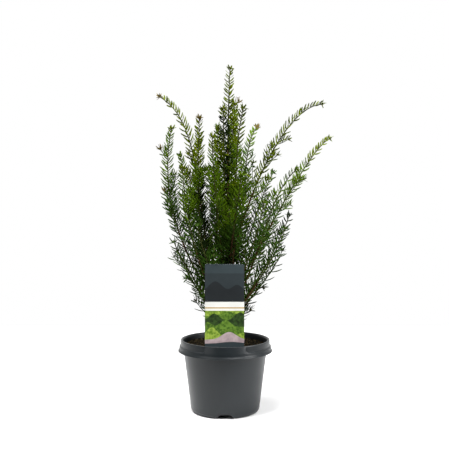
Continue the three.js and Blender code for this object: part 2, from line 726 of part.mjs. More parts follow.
function startStem(shoot) {
  const start = shoot.boughShare ? shoot.from + GAP / shoot.curve.getLength() : shoot.from;
  const stem = stemOn(shoot, shoot.curve, start, shoot.radiusAt, 0);
  shoot.stems = [stem];
  bars.push(...(shoot.from ? stem.bars : stem.bars.slice(1)));
}

function makeFoliage(shoot, roundTrunk) {
  const [first, ...others] = shoot.stems.map(leafySolid);
  const whole = others.reduce((joined, part) => joined.add(part), first);
  const foliage = shoot.from ? whole : whole.subtract(roundTrunk);
  return meshOf("leaves_" + shoot.name, mainBody(foliage), LEAF);
}

function makeYew() {
  const yew = new THREE.Group();
  const roundTrunk = trunkSolid(GAP);
  const plan = shootPlan();
  yew.add(meshOf("trunk", trunkSolid(0), BARK));
  bars.push(...trunkBars());
  plan.filter((shoot) => shoot.boughShare).forEach((shoot) => yew.add(makeBough(shoot, roundTrunk)));
  plan.forEach(startStem);
  plan.forEach(growForks);
  plan.forEach(growTwigs);
  plan.forEach((shoot) => yew.add(makeFoliage(shoot, roundTrunk)));
  return yew;
}

const group = new THREE.Group();
group.add(makePot(), makeSoil(), makeCard(), makeYew());

export default group;
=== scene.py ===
# A young English yew in a nursery pot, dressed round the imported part: a smooth pot, loose peat, a
# printed card, bark on the trunk and boughs, and every twig, needle and bud.
# Sizes are in millimetres, and each mesh is brought to metres when it is made.

import math
import random
from collections import namedtuple
from itertools import product

import bpy
import numpy as np
from mathutils import Color, Euler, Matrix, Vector, noise
from mathutils.bvhtree import BVHTree


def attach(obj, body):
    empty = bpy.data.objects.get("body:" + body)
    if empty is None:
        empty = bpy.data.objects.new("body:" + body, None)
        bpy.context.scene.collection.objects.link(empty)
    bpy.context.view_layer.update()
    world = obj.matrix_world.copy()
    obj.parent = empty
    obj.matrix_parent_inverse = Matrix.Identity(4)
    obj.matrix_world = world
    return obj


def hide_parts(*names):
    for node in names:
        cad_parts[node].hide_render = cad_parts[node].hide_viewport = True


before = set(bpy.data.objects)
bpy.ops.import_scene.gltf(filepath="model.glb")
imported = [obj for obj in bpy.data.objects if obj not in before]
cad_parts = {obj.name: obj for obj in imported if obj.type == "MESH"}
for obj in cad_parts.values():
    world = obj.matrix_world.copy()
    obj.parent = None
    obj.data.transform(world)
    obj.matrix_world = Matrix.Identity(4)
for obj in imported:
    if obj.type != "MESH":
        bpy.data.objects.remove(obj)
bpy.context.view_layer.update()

MM = 0.001
UP = np.array([0.0, 0.0, 1.0])
RIGHT = np.array([1.0, 0.0, 0.0])
LEVEL = np.array([1.0, 1.0, 0.0])
FULL_TURN = 2 * math.pi
GOLDEN_ANGLE = math.radians(137.5)
FRONT = -math.pi / 2
GAP = 0.3

# Camera: level, in front of the pot, with its picture moved down to frame the whole plant
CAMERA_PLACE = (-1.3, -1260, 364)
FOCAL_PIXELS = 687
PHOTO_HEIGHT_PIXELS = 450
HORIZON_LIFT_PIXELS = 13.85
SENSOR = 36

# Studio: each lamp's name, place, aim, size and power, in metres, and how the light of the
# surroundings fades from behind the plant to its front
LAMPS = [
    ("key", (-0.5, -0.4, 2.1), (0, 0, 0.2), 1.0, 92),
    ("front", (0.7, -1.2, 1.8), (0, 0, 0.3), 0.7, 32),
    ("side", (2.0, -1.0, 0.9), (0, 0, 0.35), 0.6, 44),
    ("fill", (-1.5, -1.4, 1.0), (0, 0, 0.3), 1.0, 10),
    ("behind", (0.0, 1.5, 1.5), (0, 0.7, 0), 1.6, 5),
]
FADING = {"From Min": -0.35, "From Max": 0.45, "To Min": 0.16, "To Max": 1.0}

# The floor's left, right, near and far edges
FLOOR_EDGES = (-900, 900, -300, 900)

# Materials: where their two shades lie in the noise, and how roughness and relief follow it
SHADE_PLACES = (0.36, 0.64)
ROUGHNESS_SPREAD = 0.08
RELIEF_STRENGTH = 0.6
RELIEF_FINENESS = 4
NOISE_DETAIL = 4

# Pot, as in the plain solids. The points of its outline are (distance from the axis, height).
POT_HEIGHT = 130
WALL = 1.2
BODY_FOOT = (63.7, 14)
BODY_TOP = (76.3, 111)
SHOULDER_HEIGHT = 117
RIM_SKIRT_RADIUS = 86.2
RIM_HEM_HEIGHT = 109
RIM_TIER = (83.8, 118.5)
RIM_HEM = [(RIM_SKIRT_RADIUS, RIM_HEM_HEIGHT), (86.1, 110.2), (84.3, 113.5), RIM_TIER]
RIM_BAND_RADIUS = 81.7
RIM_TOP_RADIUS = 81.3
RIM_ROUNDING = 1
LIP_RADIUS = 78.2
LIP_BEVEL = 0.3
FOOT_HEIGHT = 8
FOOT_RING_INNER = 46
FOOT_EDGE = [(54, 0), (60.2, 1.2), (62.8, 6), BODY_FOOT]
FOOT_BOSS_RADIUS = 14
FOOT_DRAFT = 0.8
FLOOR_TOP = 10
FLOOR_CORNER = 4
CORNER_ROOM = 2.2
CORNER_STEPS = 4
POT_COLUMN = math.radians(2)

# Channels under the pot, by the right half of their section, and drain holes
CHANNELS = 4
CHANNEL_SIDE = [(17, -2), (16, 0.5), (9.5, FOOT_HEIGHT)]
CHANNEL_START = 41
CHANNEL_LENGTH = 30
CHANNEL_CORNER = 2.5
DRAINS = 4
DRAIN_SIDES = 24
DRAIN_RADIUS = 4
DRAIN_CIRCLE = 34

# Above its tier the rim is drawn in to a band, which ends on both sides of the card. The close columns
# at its end are given by their start, stop and step along the rim.
SLOPE_FOOT_RADIUS = 83.93
BAND_SLOPE = 0.6
BAND_END = 37
BAND_END_COLUMNS = (-4, 8, 0.4)
BAND_CORNER = 6
BAND_ROWS = 24
TOLERANCE = 0.01

# Soil, its loose grains, and the ranges of the grains' sizes. A noise is given by how its octaves
# fade, how they narrow, and how many there are.
SOIL_TOP = 122
SOIL_EDGE_TOP = 119.5
SOIL_FLAT_RADIUS = 14
SOIL_LUMP = 1.3
SOIL_LUMP_WIDTH = 7
SOIL_LUMP_LAYER = 3.7
SOIL_NOISE = (1, 2, 4)
SOIL_SINKING = 0.3
SOIL_RINGS = 44
SOIL_COLUMNS = 128
CRUMBS = 2600
CRUMB_SEED = 11
CRUMB_SIZES = [(0.5, 1.9)]
CHIPS = 420
CHIP_SEED = 12
CHIP_SIZES = [(1.2, 3.4), (0.5, 1.1), (0.3, 0.6)]
GRAIN_ROUGHNESS = (0.7, 1.15)
GRAIN_LIFT = (0.1, 0.6)
GRAIN_TO_EDGE = 2.5
GRAIN_TO_TRUNK = 7
GRAIN_BESIDE_CARD = 3
GRAIN_BEFORE_CARD = 1

# Card: a generic print with no lettering. From the foot up, each layer's end, the rounded hills on
# it as (middle, half width, rise), and its ink. An ink has a dark and a light shade and a scale.
CARD_CENTRE = -1.2
CARD_WIDTH = 68.4
CARD_TOP = 272
CARD_FOOT = 123.4
CARD_THICKNESS = 0.6
CARD_FRONT = -67
CARD_CORNER = 1.5
CARD_COLUMNS = 54
CARD_LAYERS = [
    (134, [(12, 22, 3)], "slate"),
    (141, [(8, 17, 13)], "stone"),
    (147, [(-22, 12, 15), (30, 9, 6)], "fresh_green"),
    (163, [(2, 12, 12), (-30, 10, 8)], "leaf_green"),
    (174, [(-18, 12, 12), (27, 13, 14)], "deep_green"),
    (182, [(6, 14, 8)], "leaf_green"),
    (191, [], "fresh_green"),
    (195, [], "white"),
    (197, [], "ochre"),
    (206.5, [], "white"),
    (222, [(-16, 17, 20), (22, 13, 14)], "charcoal"),
    (256, [], "dusk"),
    (CARD_TOP, [], "slate"),
]
LEAST_LAYER = 0.2
INKS = {
    "slate": ("#2c3437", "#333c3f", 12),
    "dusk": ("#262c2f", "#2c3335", 12),
    "charcoal": ("#1b1e20", "#202426", 12),
    "stone": ("#85777a", "#a39394", 90),
    "deep_green": ("#16240d", "#2b4119", 260),
    "leaf_green": ("#2b4412", "#567426", 260),
    "fresh_green": ("#4a6618", "#84993c", 260),
    "white": ("#c4c4bf", "#cfcfca", 20),
    "ochre": ("#96783c", "#a88a4c", 20),
}
TONGUE_WIDTH = 22
TONGUE_FOOT = 94
TONGUE_CORNER = 3
TONGUE_OVERLAP = 1
TONGUE_INSET = 0.05

# Trunk and boughs
TRUNK_POINTS = [(0, 0, 122), (10, 2, 260), (0, 0, 430), (8.6, 0, 626)]
TRUNK_FOOT = 122.3
TRUNK_TOP = 420
TRUNK_LEVELS = [TRUNK_FOOT, 125, 129, 134, 142, 155, 170, 190, 215, 245, 280, 320, 360, 395, TRUNK_TOP]
TRUNK_FOOT_RADIUS = 5
TRUNK_TOP_RADIUS = 2.2
ROOT_FLARE = 3
ROOT_FLARE_HEIGHT = 7
BOUGH_FOOT_RADIUS = 2.2
SHOOT_TIP_RADIUS = 0.75
BOUGH_SHARE = 0.27
BOUGH_STEP = 24

# Bark: the size of its ridges and knots, how far they stand out, and the rings and sides of limbs
RIDGE_SIZE = np.array([1.7, 1.7, 9])
RIDGE_NOISE = (0.9, 2.1, 4)
KNOT_SIZE = 5
KNOT_START = 0.25
KNOT_RISE = 0.5
TRUNK_RINGS = 190
TRUNK_SIDES = 28
TRUNK_RELIEF = 0.16
FLUTES = 3
FLUTE_DEPTH = 0.14
FLUTE_TURN = 0.8
BOUGH_SIDES = 14
BOUGH_RELIEF = 0.12
BOUGH_RING = 2.5
BOUGH_LEAST_RINGS = 8
BOUGH_OVERLAP = 2
COLLAR = 0.5
COLLAR_REACH = 9
STEM_RING = 4
STEM_LEAST_RINGS = 4
STEM_SIDES = (9, 7, 6)
STEM_THINNING = (1, 0.85, 0.85)
STEM_RELIEF = 0.1
OBSTACLE_SIDES = 4
OLD_SHARE = 0.3
BROWN, OLIVE, GREEN = range(3)

# Curves and rings
CURVE_CHORDS = 200
TANGENT_STEP = 1e-4
NEARLY_UPRIGHT = 0.95
LEAST_LEAN = 0.05
HEIGHT_STEP = 1e-7
NEARLY_PARALLEL = 1e-9

# The source's draws of random numbers
SEED = 4711
SEED_STEP = 7919
DRAW_FACTOR = 1664525
DRAW_STEP = 1013904223
DRAW_RANGE = 2**32

# Orders of stems
MAIN, TWIG, FINE = range(3)

# Twigs of the source's rule
STEM_STEP = 11
STEM_LEAST_STEPS = 2
STEM_FATTER = 1.25
TWIG_SPACING = 92
TWIG_FIRST = 0.08
TWIG_LAST = 0.62
TWIG_LONGEST = 62
TWIG_SHORTEST = 24
TWIG_VARIATION = 0.2
TWIG_ANGLE = math.radians(36)
TWIG_RADII = (0.95, 0.6)
TWIG_TRIES = 4
TWIG_AHEAD = (0.5, 0.3, 0.4)
REACH = 58
COMBING = 0.35
CLEARANCE = 1
CARD_CLEARANCE = 3

# Finer twigs, which the rule is carried on to. Spacing, lengths and last places are given for those
# on main stems and for those on twigs.
FINE_SPACING = (44, 55)
FINE_CROWDING = (1.5, 2.1)
FINE_LONGEST = (150, 70)
FINE_SHORTEST = (45, 30)
FINE_VARIATION = (0.75, 1.15)
FINE_PLACES = (0.2, 0.9)
FINE_LAST = (0.55, 0.6)
FINE_ANGLE = math.radians(24)
FINE_SHARE = 0.62
FINE_TRIES = 6
FINE_SHORTER = 0.88
FINE_RADII = (0.62, 0.42)
WHIP_AHEAD = (0.8, 0.12, 0.2)
WHIP_STAND_OFF = 24
WHIP_REACH = 27
LOW_TWIGS = 2
LOW_TWIG_SHARE = (0.08, 0.25)
LOW_TWIG_LENGTH = (60, 120)
OUTER_SHOOT = 120

# Needles. Three values are for main stems, for twigs and for fine twigs, two are the ends of a range.
NEEDLE_SPACING = (2.4, 2.3, 2.3)
NEEDLE_CROWDING = (0.6, 0.92)
CROWDED_HEIGHTS = (480, 590)
SPARSER = 1.18
DENSER = 0.84
NEEDLE_LENGTHS = (20, 15)
LENGTH_HEIGHTS = (260, 520)
LENGTH_VARIATION = (0.88, 1.1)
NEEDLE_WIDTHS = (2.9, 2.6, 2.5)
WIDTH_VARIATION = (0.88, 1.08)
LOW_NARROWING = 0.78
NEEDLE_THICKNESS = 0.8
NEEDLE_RIB = 0.6
NEEDLE_KEEL = 0.4
NEEDLE_RINGS = [(0, 0.3), (0.14, 0.85), (0.55, 1), (0.86, 0.7)]
NEEDLE_LEAN = math.radians(60)
LEADER_LEAN = math.radians(62)
LEAN_SPREAD = 4
SPIRAL_SPREAD = 0.2
NEEDLE_TWIST = 62
NEEDLE_TWIST_SPREAD = 22
NEEDLE_FLATTENING = 0.7
NEEDLE_COMBING = 0.55
NEEDLE_SINKING = 0.6
NEEDLE_BEND = 0.3
BEND_VARIATION = (0.7, 1.3)
NEEDLE_LOOK_FROM = 2.2
LEAST_NEEDLES = 3
BARE_FOOT = (0, 5, 4)
BOUGH_BARE = 0.17
TIP_CLOSING = 11
TIP_LEAN = 0.6
TIP_SHORTENING = 80
TIP_NEEDLE = 0.6
TIP_SHARE = 0.35
TIP_TUFT = 7
TUFT_NEEDLES = (7, 5, 4)
TUFT_LENGTH = 9.5
TUFT_VARIATION = (0.8, 1.1)
TUFT_WIDTH = 0.9
TUFT_LEANS = (30, 75)
TUFT_DEPTH = 1.5
BUD_LENGTH = 3.4
BUD_RADIUS = 1.1
BUD_SIDES = 8
BUD_SINKING = 0.4
TIP_STEP = 1
BUD_PROFILE = [(0, 0.4), (0.2, 0.85), (0.45, 1), (0.7, 0.75), (0.9, 0.35)]

# Leaf colours: the dark and light shade of a needle's upper side, then of its under side
# The first pair, shade, is a painted shade for needles at the crown's back, low in it and in its clefts.
# The lighter pairs, lively and fresh, go where the tone is high: partly painted light at the crown's front
# and on its front feather, partly towards its top.
LEAF_COLOURS = [
    ("shade", "#0b1305", "#15200a", "#28361a", "#364626"),
    ("green", "#1f320a", "#2f4816", "#405821", "#526c30"),
    ("lively", "#2e4206", "#465e0e", "#4d641b", "#617a26"),
    ("fresh", "#354105", "#4d5b0a", "#556214", "#68751f"),
    ("bronze", "#403813", "#554a1c", "#584d24", "#6a5e30"),
]
# The numbers of the painted shade pair and of the bronze pair
PAINTED_SHADE = 0
BRONZE = 4
BRONZE_CHANCE = (0, 0.06, 0)
BRONZE_LOWEST = 410
BRONZE_TIPS = ("left_arch", "left_mid", "right_back")
BRONZE_FORKS = ("leader", "left_tall")
# A needle's tone picks its pair. Painted light raises it at the crown's front and on the front feather,
# painted shade lowers it at the back, and it rises towards the top.
TONE_STEPS = (0.1, 0.42, 0.79)
TONE_HEIGHTS = (270, 540)
TONE_BY_HEIGHT = 0.8
PAINTED_LIGHT_BY_FRONT = 0.22
TONE_BY_SHOOT = 0.12
TONE_BY_STEM = 0.12
TONE_OF_FRESHEST = 0.35
PAINTED_LIGHT_ON_FEATHER = 0.22
FEATHER_REACH = 14
FEATHER_HEIGHTS = (255, 410)

# Places in the crown, each as (middle, half width, foot, top): clefts, whose needles are thinned and take
# the painted shade pair, and gaps to the sky
PAINTED_SHADE_CLEFTS = [(3, 7, 415, 530), (-42, 7, 262, 405)]
CLEFT_SKIP = 0.25
SKY_GAPS = [
    (-17, 11, 256, 366),
    (47, 10, 415, 490),
    (70, 10, 330, 370),
    (49, 11, 195, 330),
    (-62, 8, 256, 330),
]
SKY_SKIP = 0.75

# Each shoot's name, bearing in degrees from +X towards +Y, and height where it leaves the trunk,
# then lift, aim and tip as (distance from the origin, height)
SHOOTS = [
    ("right_arch_high", -8, 208, (2, 300), (92, 556), (176, 556)),
    ("right_arch_low", 10, 179, (48, 275), (162, 488), (200, 500)),
    ("right_slim", -22, 174, (72, 268), (75, 390), (136, 438)),
    ("right_inner", 28, 191, (42, 290), (68, 380), (103, 438)),
    ("right_back", 50, 206, (66, 300), (33, 480), (97, 528)),
    ("right_mid", -6, 160, (56, 228), (96, 300), (117, 356)),
    ("right_front", -32, 150, (50, 215), (100, 275), (123, 334)),
    ("right_low", 20, 149, (42, 196), (95, 245), (115, 290)),
    ("right_foot", -10, 135, (22, 176), (46, 226), (70, 225)),
    ("left_arch", 173, 197, (68, 275), (22, 520), (123, 576)),
    ("left_mid", 206, 184, (74, 280), (54, 460), (52, 532)),
    ("left_tall", 184, 174, (76, 262), (125, 390), (98, 515)),
    ("left_slant", 148, 160, (50, 292), (80, 400), (102, 471)),
    ("left_front", 217, 163, (60, 245), (90, 350), (94, 440)),
    ("left_low", 196, 153, (42, 212), (82, 272), (96, 309)),
    ("left_sweep", 165, 144, (38, 195), (78, 250), (92, 289)),
    ("left_foot", 204, 135, (26, 180), (56, 236), (76, 244)),
    ("back_left", 122, 202, (58, 300), (25, 430), (26, 522)),
    ("mid_left", 250, 190, (18, 290), (72, 420), (66, 494)),
    ("mid_right", -66, 186, (58, 300), (20, 450), (77, 543)),
    ("mid_front", 265, 234, (18, 330), (45, 430), (40, 546)),
    ("back_right", 76, 220, (50, 312), (25, 470), (79, 559)),
    ("front_lean", 284, 218, (24, 300), (75, 360), (113, 425)),
    ("back_lean", 86, 178, (58, 270), (80, 420), (127, 510)),
    ("back_low", 102, 162, (48, 240), (100, 300), (112, 394)),
    ("front_right", -50, 163, (46, 260), (85, 310), (103, 379)),
    ("near_left", 242, 170, (45, 255), (90, 290), (100, 339)),
    ("far_left", 137, 152, (50, 240), (100, 310), (115, 394)),
    ("far_right", 44, 166, (50, 240), (100, 310), (115, 394)),
]
LEAFY_FROM_TRUNK = ("right_foot", "left_foot", "left_sweep", "near_left")
OPEN_SHOOTS = (
    "right_slim", "right_inner", "right_mid", "right_front", "right_low", "front_right", "far_right",
    "left_low", "left_sweep",
)
ARCHES = ("right_arch_high", "right_arch_low", "left_arch")
FRESHEST = ("leader", *ARCHES)
SPARSE_SHOOTS = ("leader", *OPEN_SHOOTS)
DENSE_SHOOTS = ("left_tall", "left_front", "left_slant", "left_mid", "right_arch_low")

# Side shoots that stand out of the crown: the shoot they leave, the share of its leafy part, the
# bearing and the rise above level in degrees, and the length
FORKS = [
    ("leader", 0.6, 0, 42, 30),
    ("leader", 0.52, 185, 60, 26),
    ("right_arch_high", 0.62, -5, 12, 24),
    ("right_arch_high", 0.5, -15, 20, 24),
    ("right_arch_low", 0.61, 5, 8, 18),
    ("right_arch_low", 0.38, 15, 20, 28),
    ("right_back", 0.55, 10, 45, 28),
    ("right_back", 0.42, 5, 45, 28),
    ("left_arch", 0.36, 180, 50, 34),
    ("left_arch", 0.5, 185, 55, 26),
    ("left_arch", 0.4, 10, 50, 26),
    ("left_tall", 0.8, 180, 38, 22),
    ("left_tall", 0.48, 178, 62, 30),
    ("right_foot", 0.35, -5, 12, 30),
]


# Small helpers

def lerp(a, b, share):
    return a + (b - a) * share


def unit(vector):
    return vector / np.linalg.norm(vector)


def smooth_step(low, high, value):
    share = np.clip((value - low) / (high - low), 0, 1)
    return share * share * (3 - 2 * share)


def round_turn(count, first=0):
    """Even steps of a full turn, from the first step on."""
    return [(first + i) * FULL_TURN / count for i in range(count)]


def around(radius, angle):
    """The point at a radius and an angle round the axis."""
    return radius * math.cos(angle), radius * math.sin(angle)


def swung(way, other, angle):
    """A way turned by an angle towards another that is square to it."""
    return way * math.cos(angle) + other * math.sin(angle)


def square_to(other, way):
    """The way as it is when its part along the other is taken out."""
    return unit(way - other * (way @ other))


def tint(code):
    """The linear colour of a hex code."""
    parts = [int(code[i : i + 2], 16) / 255 for i in (1, 3, 5)]
    return (*Color(parts).from_srgb_to_scene_linear(), 1)


def link(name, data):
    """A new object in the scene."""
    made = bpy.data.objects.new(name, data)
    bpy.context.scene.collection.objects.link(made)
    return made


def link_mesh(name, vertices, faces, materials=()):
    """A new mesh object, from corners in millimetres."""
    mesh = bpy.data.meshes.new(name)
    mesh.from_pydata((np.array(vertices) * MM).tolist(), [], faces)
    for material in materials:
        mesh.materials.append(material)
    return link(name, mesh)


# Materials

def join_node(tree, kind, source, socket, **values):
    """A new node with one socket joined to a source, and with other inputs set."""
    node = tree.nodes.new(kind)
    tree.links.new(source, node.inputs[socket])
    for name, value in values.items():
        node.inputs[name].default_value = value
    return node


def noise_node(tree, place, scale):
    return join_node(tree, "ShaderNodeTexNoise", place, "Vector", Scale=scale, Detail=NOISE_DETAIL)


def make_material(name, dark, light, scale, roughness, relief=0.0, relief_scale=None, stretch=(1, 1, 1),
                  specular=0.5):
    """Colour that wanders between two shades, with roughness and fine relief from the same noise."""
    material = bpy.data.materials.new(name)
    material.use_nodes = True
    tree = material.node_tree
    shader = tree.nodes["Principled BSDF"]
    shader.inputs["Specular IOR Level"].default_value = specular
    place = tree.nodes.new("ShaderNodeTexCoord").outputs["Object"]
    stretched = join_node(tree, "ShaderNodeMapping", place, "Vector", Scale=stretch).outputs["Vector"]
    cloud = noise_node(tree, stretched, scale)
    ramp = join_node(tree, "ShaderNodeValToRGB", cloud.outputs["Fac"], "Fac")
    for element, position, code in zip(ramp.color_ramp.elements, SHADE_PLACES, (dark, light)):
        element.position = position
        element.color = tint(code)
    tree.links.new(ramp.outputs["Color"], shader.inputs["Base Color"])
    ends = {"To Min": roughness - ROUGHNESS_SPREAD, "To Max": min(1, roughness + ROUGHNESS_SPREAD)}
    spread = join_node(tree, "ShaderNodeMapRange", cloud.outputs["Fac"], "Value", **ends)
    tree.links.new(spread.outputs["Result"], shader.inputs["Roughness"])
    if relief:
        grain = noise_node(tree, stretched, relief_scale or scale * RELIEF_FINENESS)
        depth = {"Strength": RELIEF_STRENGTH, "Distance": relief * MM}
        bump = join_node(tree, "ShaderNodeBump", grain.outputs["Fac"], "Height", **depth)
        tree.links.new(bump.outputs["Normal"], shader.inputs["Normal"])
    return material


# Meshes

class Shape:
    """Vertices in millimetres and faces with their material numbers, gathered from many parts."""

    def __init__(self):
        self.vertices = []
        self.faces = []
        self.numbers = []

    def add(self, vertices, faces, numbers=0):
        start = len(self.vertices)
        self.vertices.extend(map(tuple, vertices))
        self.faces.extend(tuple(int(corner) + start for corner in face) for face in faces)
        self.numbers.extend([numbers] * len(faces) if isinstance(numbers, int) else numbers)

    def make(self, name, slot, materials, smooth=True):
        """The mesh object, which rides on the plant's one body."""
        piece = link_mesh(name, self.vertices, self.faces, materials)
        polygons = piece.data.polygons
        polygons.foreach_set("material_index", self.numbers)
        polygons.foreach_set("use_smooth", [smooth] * len(polygons))
        piece.data.update()
        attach(piece, "root")
        return piece


def grid_faces(rows, columns, start=0):
    """Quads between the rings of a tube, whose corners run round and are numbered ring by ring."""
    faces = []
    for row, column in product(range(rows - 1), range(columns)):
        beside = (column + 1) % columns
        low = start + row * columns
        faces.append((low + column, low + beside, low + columns + beside, low + columns + column))
    return faces


def fan_faces(columns, start, tip):
    """Triangles from a ring to one point."""
    return [(start + i, start + (i + 1) % columns, tip) for i in range(columns)]


def lathe(outline, angles, radius_of=lambda radius, height, angle: radius):
    """A closed turned body. The outline starts and ends on the axis."""
    vertices = [(0, 0, outline[0][1])]
    for (radius, height), angle in product(outline[1:-1], angles):
        real = radius_of(radius, height, angle)
        vertices.append((*around(real, angle), height))
    vertices.append((0, 0, outline[-1][1]))
    columns = len(angles)
    last = len(vertices) - 1
    faces = grid_faces(len(outline) - 2, columns, 1)
    faces += [face[::-1] for face in fan_faces(columns, 1, 0)]
    faces += fan_faces(columns, last - columns, last)
    return vertices, faces


def bar(section, far, near):
    """A straight bar from far to near, with a section of (across, up) corners."""
    vertices = [(across, y, up) for y in (far, near) for across, up in section]
    count = len(section)
    faces = [tuple(range(count - 1, -1, -1)), tuple(range(count, 2 * count)), *grid_faces(2, count)]
    return vertices, faces


def cut(piece, cutters):
    """Takes the cutters' solids out of the piece and removes them."""
    for cutter in cutters:
        difference = piece.modifiers.new("cut", "BOOLEAN")
        difference.operation = "DIFFERENCE"
        difference.solver = "EXACT"
        difference.object = cutter
    bpy.context.view_layer.update()
    graph = bpy.context.evaluated_depsgraph_get()
    made = bpy.data.meshes.new_from_object(piece.evaluated_get(graph))
    piece.modifiers.clear()
    piece.data = made
    for cutter in cutters:
        bpy.data.objects.remove(cutter)


# Camera, light and floor

def set_camera():
    lens = bpy.data.cameras.new("camera")
    lens.sensor_width = SENSOR
    lens.lens = SENSOR * FOCAL_PIXELS / PHOTO_HEIGHT_PIXELS
    lens.shift_y = -HORIZON_LIFT_PIXELS / PHOTO_HEIGHT_PIXELS
    camera = link("camera", lens)
    camera.location = [along * MM for along in CAMERA_PLACE]
    camera.rotation_euler = (math.pi / 2, 0, 0)
    bpy.context.scene.camera = camera


def add_light(name, place, aim, size, power):
    lamp = bpy.data.lights.new(name, "AREA")
    lamp.shape = "SQUARE"
    lamp.size = size
    lamp.energy = power
    light = link(name, lamp)
    light.location = place
    light.rotation_euler = (Vector(aim) - Vector(place)).to_track_quat("-Z", "Y").to_euler()


def set_studio():
    world = bpy.data.worlds.new("studio")
    world.use_nodes = True
    tree = world.node_tree
    background = tree.nodes["Background"]
    background.inputs["Color"].default_value = (1, 1, 1, 1)
    place = tree.nodes.new("ShaderNodeTexCoord").outputs["Generated"]
    parts = join_node(tree, "ShaderNodeSeparateXYZ", place, "Vector")
    fading = join_node(tree, "ShaderNodeMapRange", parts.outputs["Y"], "Value", **FADING)
    fading.interpolation_type = "SMOOTHSTEP"
    tree.links.new(fading.outputs["Result"], background.inputs["Strength"])
    bpy.context.scene.world = world
    world.cycles_visibility.diffuse = False
    bpy.context.scene.view_settings.view_transform = "Standard"
    for lamp in LAMPS:
        add_light(*lamp)


def make_floor():
    left, right, near, far = FLOOR_EDGES
    corners = [(left, near, 0), (right, near, 0), (right, far, 0), (left, far, 0)]
    paper = make_material("floor_paper", "#f6f6f6", "#fafafa", 3, 0.85)
    floor = link_mesh("floor", corners, [(0, 1, 2, 3)], [paper])


# Pot

def wall_radius(height):
    """The radius of the tapered body's outside."""
    share = (height - BODY_FOOT[1]) / (BODY_TOP[1] - BODY_FOOT[1])
    return lerp(BODY_FOOT[0], BODY_TOP[0], share)


def rounded(outline, reach):
    """The outline with each corner replaced by a short curve that starts up to reach before it."""
    points = [np.array(point, float) for point in outline]
    smooth = [tuple(points[0])]
    for before, corner, after in zip(points, points[1:], points[2:]):
        back = before - corner
        ahead = after - corner
        room = min(reach, *(np.linalg.norm(side) / CORNER_ROOM for side in (back, ahead)))
        first = corner + unit(back) * room
        last = corner + unit(ahead) * room
        for share in np.linspace(0, 1, CORNER_STEPS + 1):
            smooth.append(tuple(lerp(lerp(first, corner, share), lerp(corner, last, share), share)))
    smooth.append(tuple(points[-1]))
    return smooth


def pot_outline():
    """From the axis underneath, up the outside, over the rim and down the inside to the axis."""
    under_rim = POT_HEIGHT - 2 * WALL
    band_top = (RIM_TOP_RADIUS, POT_HEIGHT - RIM_ROUNDING)
    outside = [
        (0, 0),
        (FOOT_BOSS_RADIUS, 0),
        (FOOT_BOSS_RADIUS + FOOT_DRAFT, FOOT_HEIGHT),
        (FOOT_RING_INNER - FOOT_DRAFT, FOOT_HEIGHT),
        (FOOT_RING_INNER, 0),
        *FOOT_EDGE,
        BODY_TOP,
        (wall_radius(SHOULDER_HEIGHT), SHOULDER_HEIGHT),
        (LIP_RADIUS - WALL / 2, under_rim),
        (RIM_BAND_RADIUS - WALL, under_rim),
        (RIM_BAND_RADIUS - WALL, RIM_TIER[1] - WALL),
        (RIM_SKIRT_RADIUS - WALL, RIM_HEM_HEIGHT),
        *RIM_HEM,
    ]
    slope = np.linspace((SLOPE_FOOT_RADIUS, RIM_TIER[1] - BAND_SLOPE), band_top, BAND_ROWS + 1)
    inside = [
        band_top,
        (RIM_TOP_RADIUS - LIP_BEVEL, POT_HEIGHT),
        (LIP_RADIUS, POT_HEIGHT),
        (LIP_RADIUS - WALL - GAP, under_rim),
        (wall_radius(SHOULDER_HEIGHT) - WALL, SHOULDER_HEIGHT),
        (wall_radius(BODY_FOOT[1]) - WALL, BODY_FOOT[1]),
        (BODY_FOOT[0] - FLOOR_CORNER, FLOOR_TOP),
        (0, FLOOR_TOP),
    ]
    return [*rounded(outside, RIM_ROUNDING)[:-1], *slope.tolist(), *rounded(inside, RIM_ROUNDING)[1:]]


def band_share(height, angle):
    """How far the rim is drawn in: 1 on the band, 0 below it and across the front."""
    along = abs((angle - FRONT + math.pi) % FULL_TURN - math.pi) * RIM_TIER[0]
    inwards = along - BAND_END
    above = height - RIM_TIER[1]
    short = math.hypot(max(BAND_CORNER - inwards, 0), max(BAND_CORNER - above, 0))
    return smooth_step(0, BAND_SLOPE, BAND_CORNER - short)


def pot_radius(radius, height, angle):
    """The outline's radius, drawn in on the rim's slope where the band runs."""
    on_slope = radius > RIM_TOP_RADIUS - TOLERANCE and height > RIM_TIER[1] - BAND_SLOPE
    if not on_slope:
        return radius
    share = (height - RIM_TIER[1]) / (POT_HEIGHT - RIM_TIER[1])
    drawn_in = lerp(RIM_BAND_RADIUS, RIM_TOP_RADIUS, share)
    return min(radius, lerp(radius, drawn_in, band_share(height, angle)))


def pot_angles():
    """Columns round the pot, closer together where the band ends."""
    end = BAND_END / RIM_TIER[0]
    close = np.arange(*BAND_END_COLUMNS) / RIM_TIER[0]
    coarse = np.arange(0, FULL_TURN, POT_COLUMN)
    offsets = [*(end + close), *(FULL_TURN - end - close)]
    kept = [a for a in coarse if min(abs(a - b) for b in offsets) > POT_COLUMN / 2]
    return [FRONT + a for a in sorted([*kept, *offsets])]


def channel_cutter(turn):
    left = [(-across, up) for across, up in reversed(CHANNEL_SIDE)]
    section = rounded([left[-1], *CHANNEL_SIDE, *left], CHANNEL_CORNER)[:-1]
    channel = link_mesh("channel", *bar(section, 0, -CHANNEL_LENGTH))
    channel.location = (*around(CHANNEL_START * MM, FRONT + turn), 0)
    channel.rotation_euler = (0, 0, turn)
    return channel


def drain_cutter(turn):
    section = [around(DRAIN_RADIUS, angle) for angle in round_turn(DRAIN_SIDES)]
    drain = link_mesh("drain", *bar(section, 0, -2 * FLOOR_TOP))
    drain.location = (*around(DRAIN_CIRCLE * MM, turn), -FLOOR_TOP / 2 * MM)
    drain.rotation_euler = (-math.pi / 2, 0, 0)
    return drain


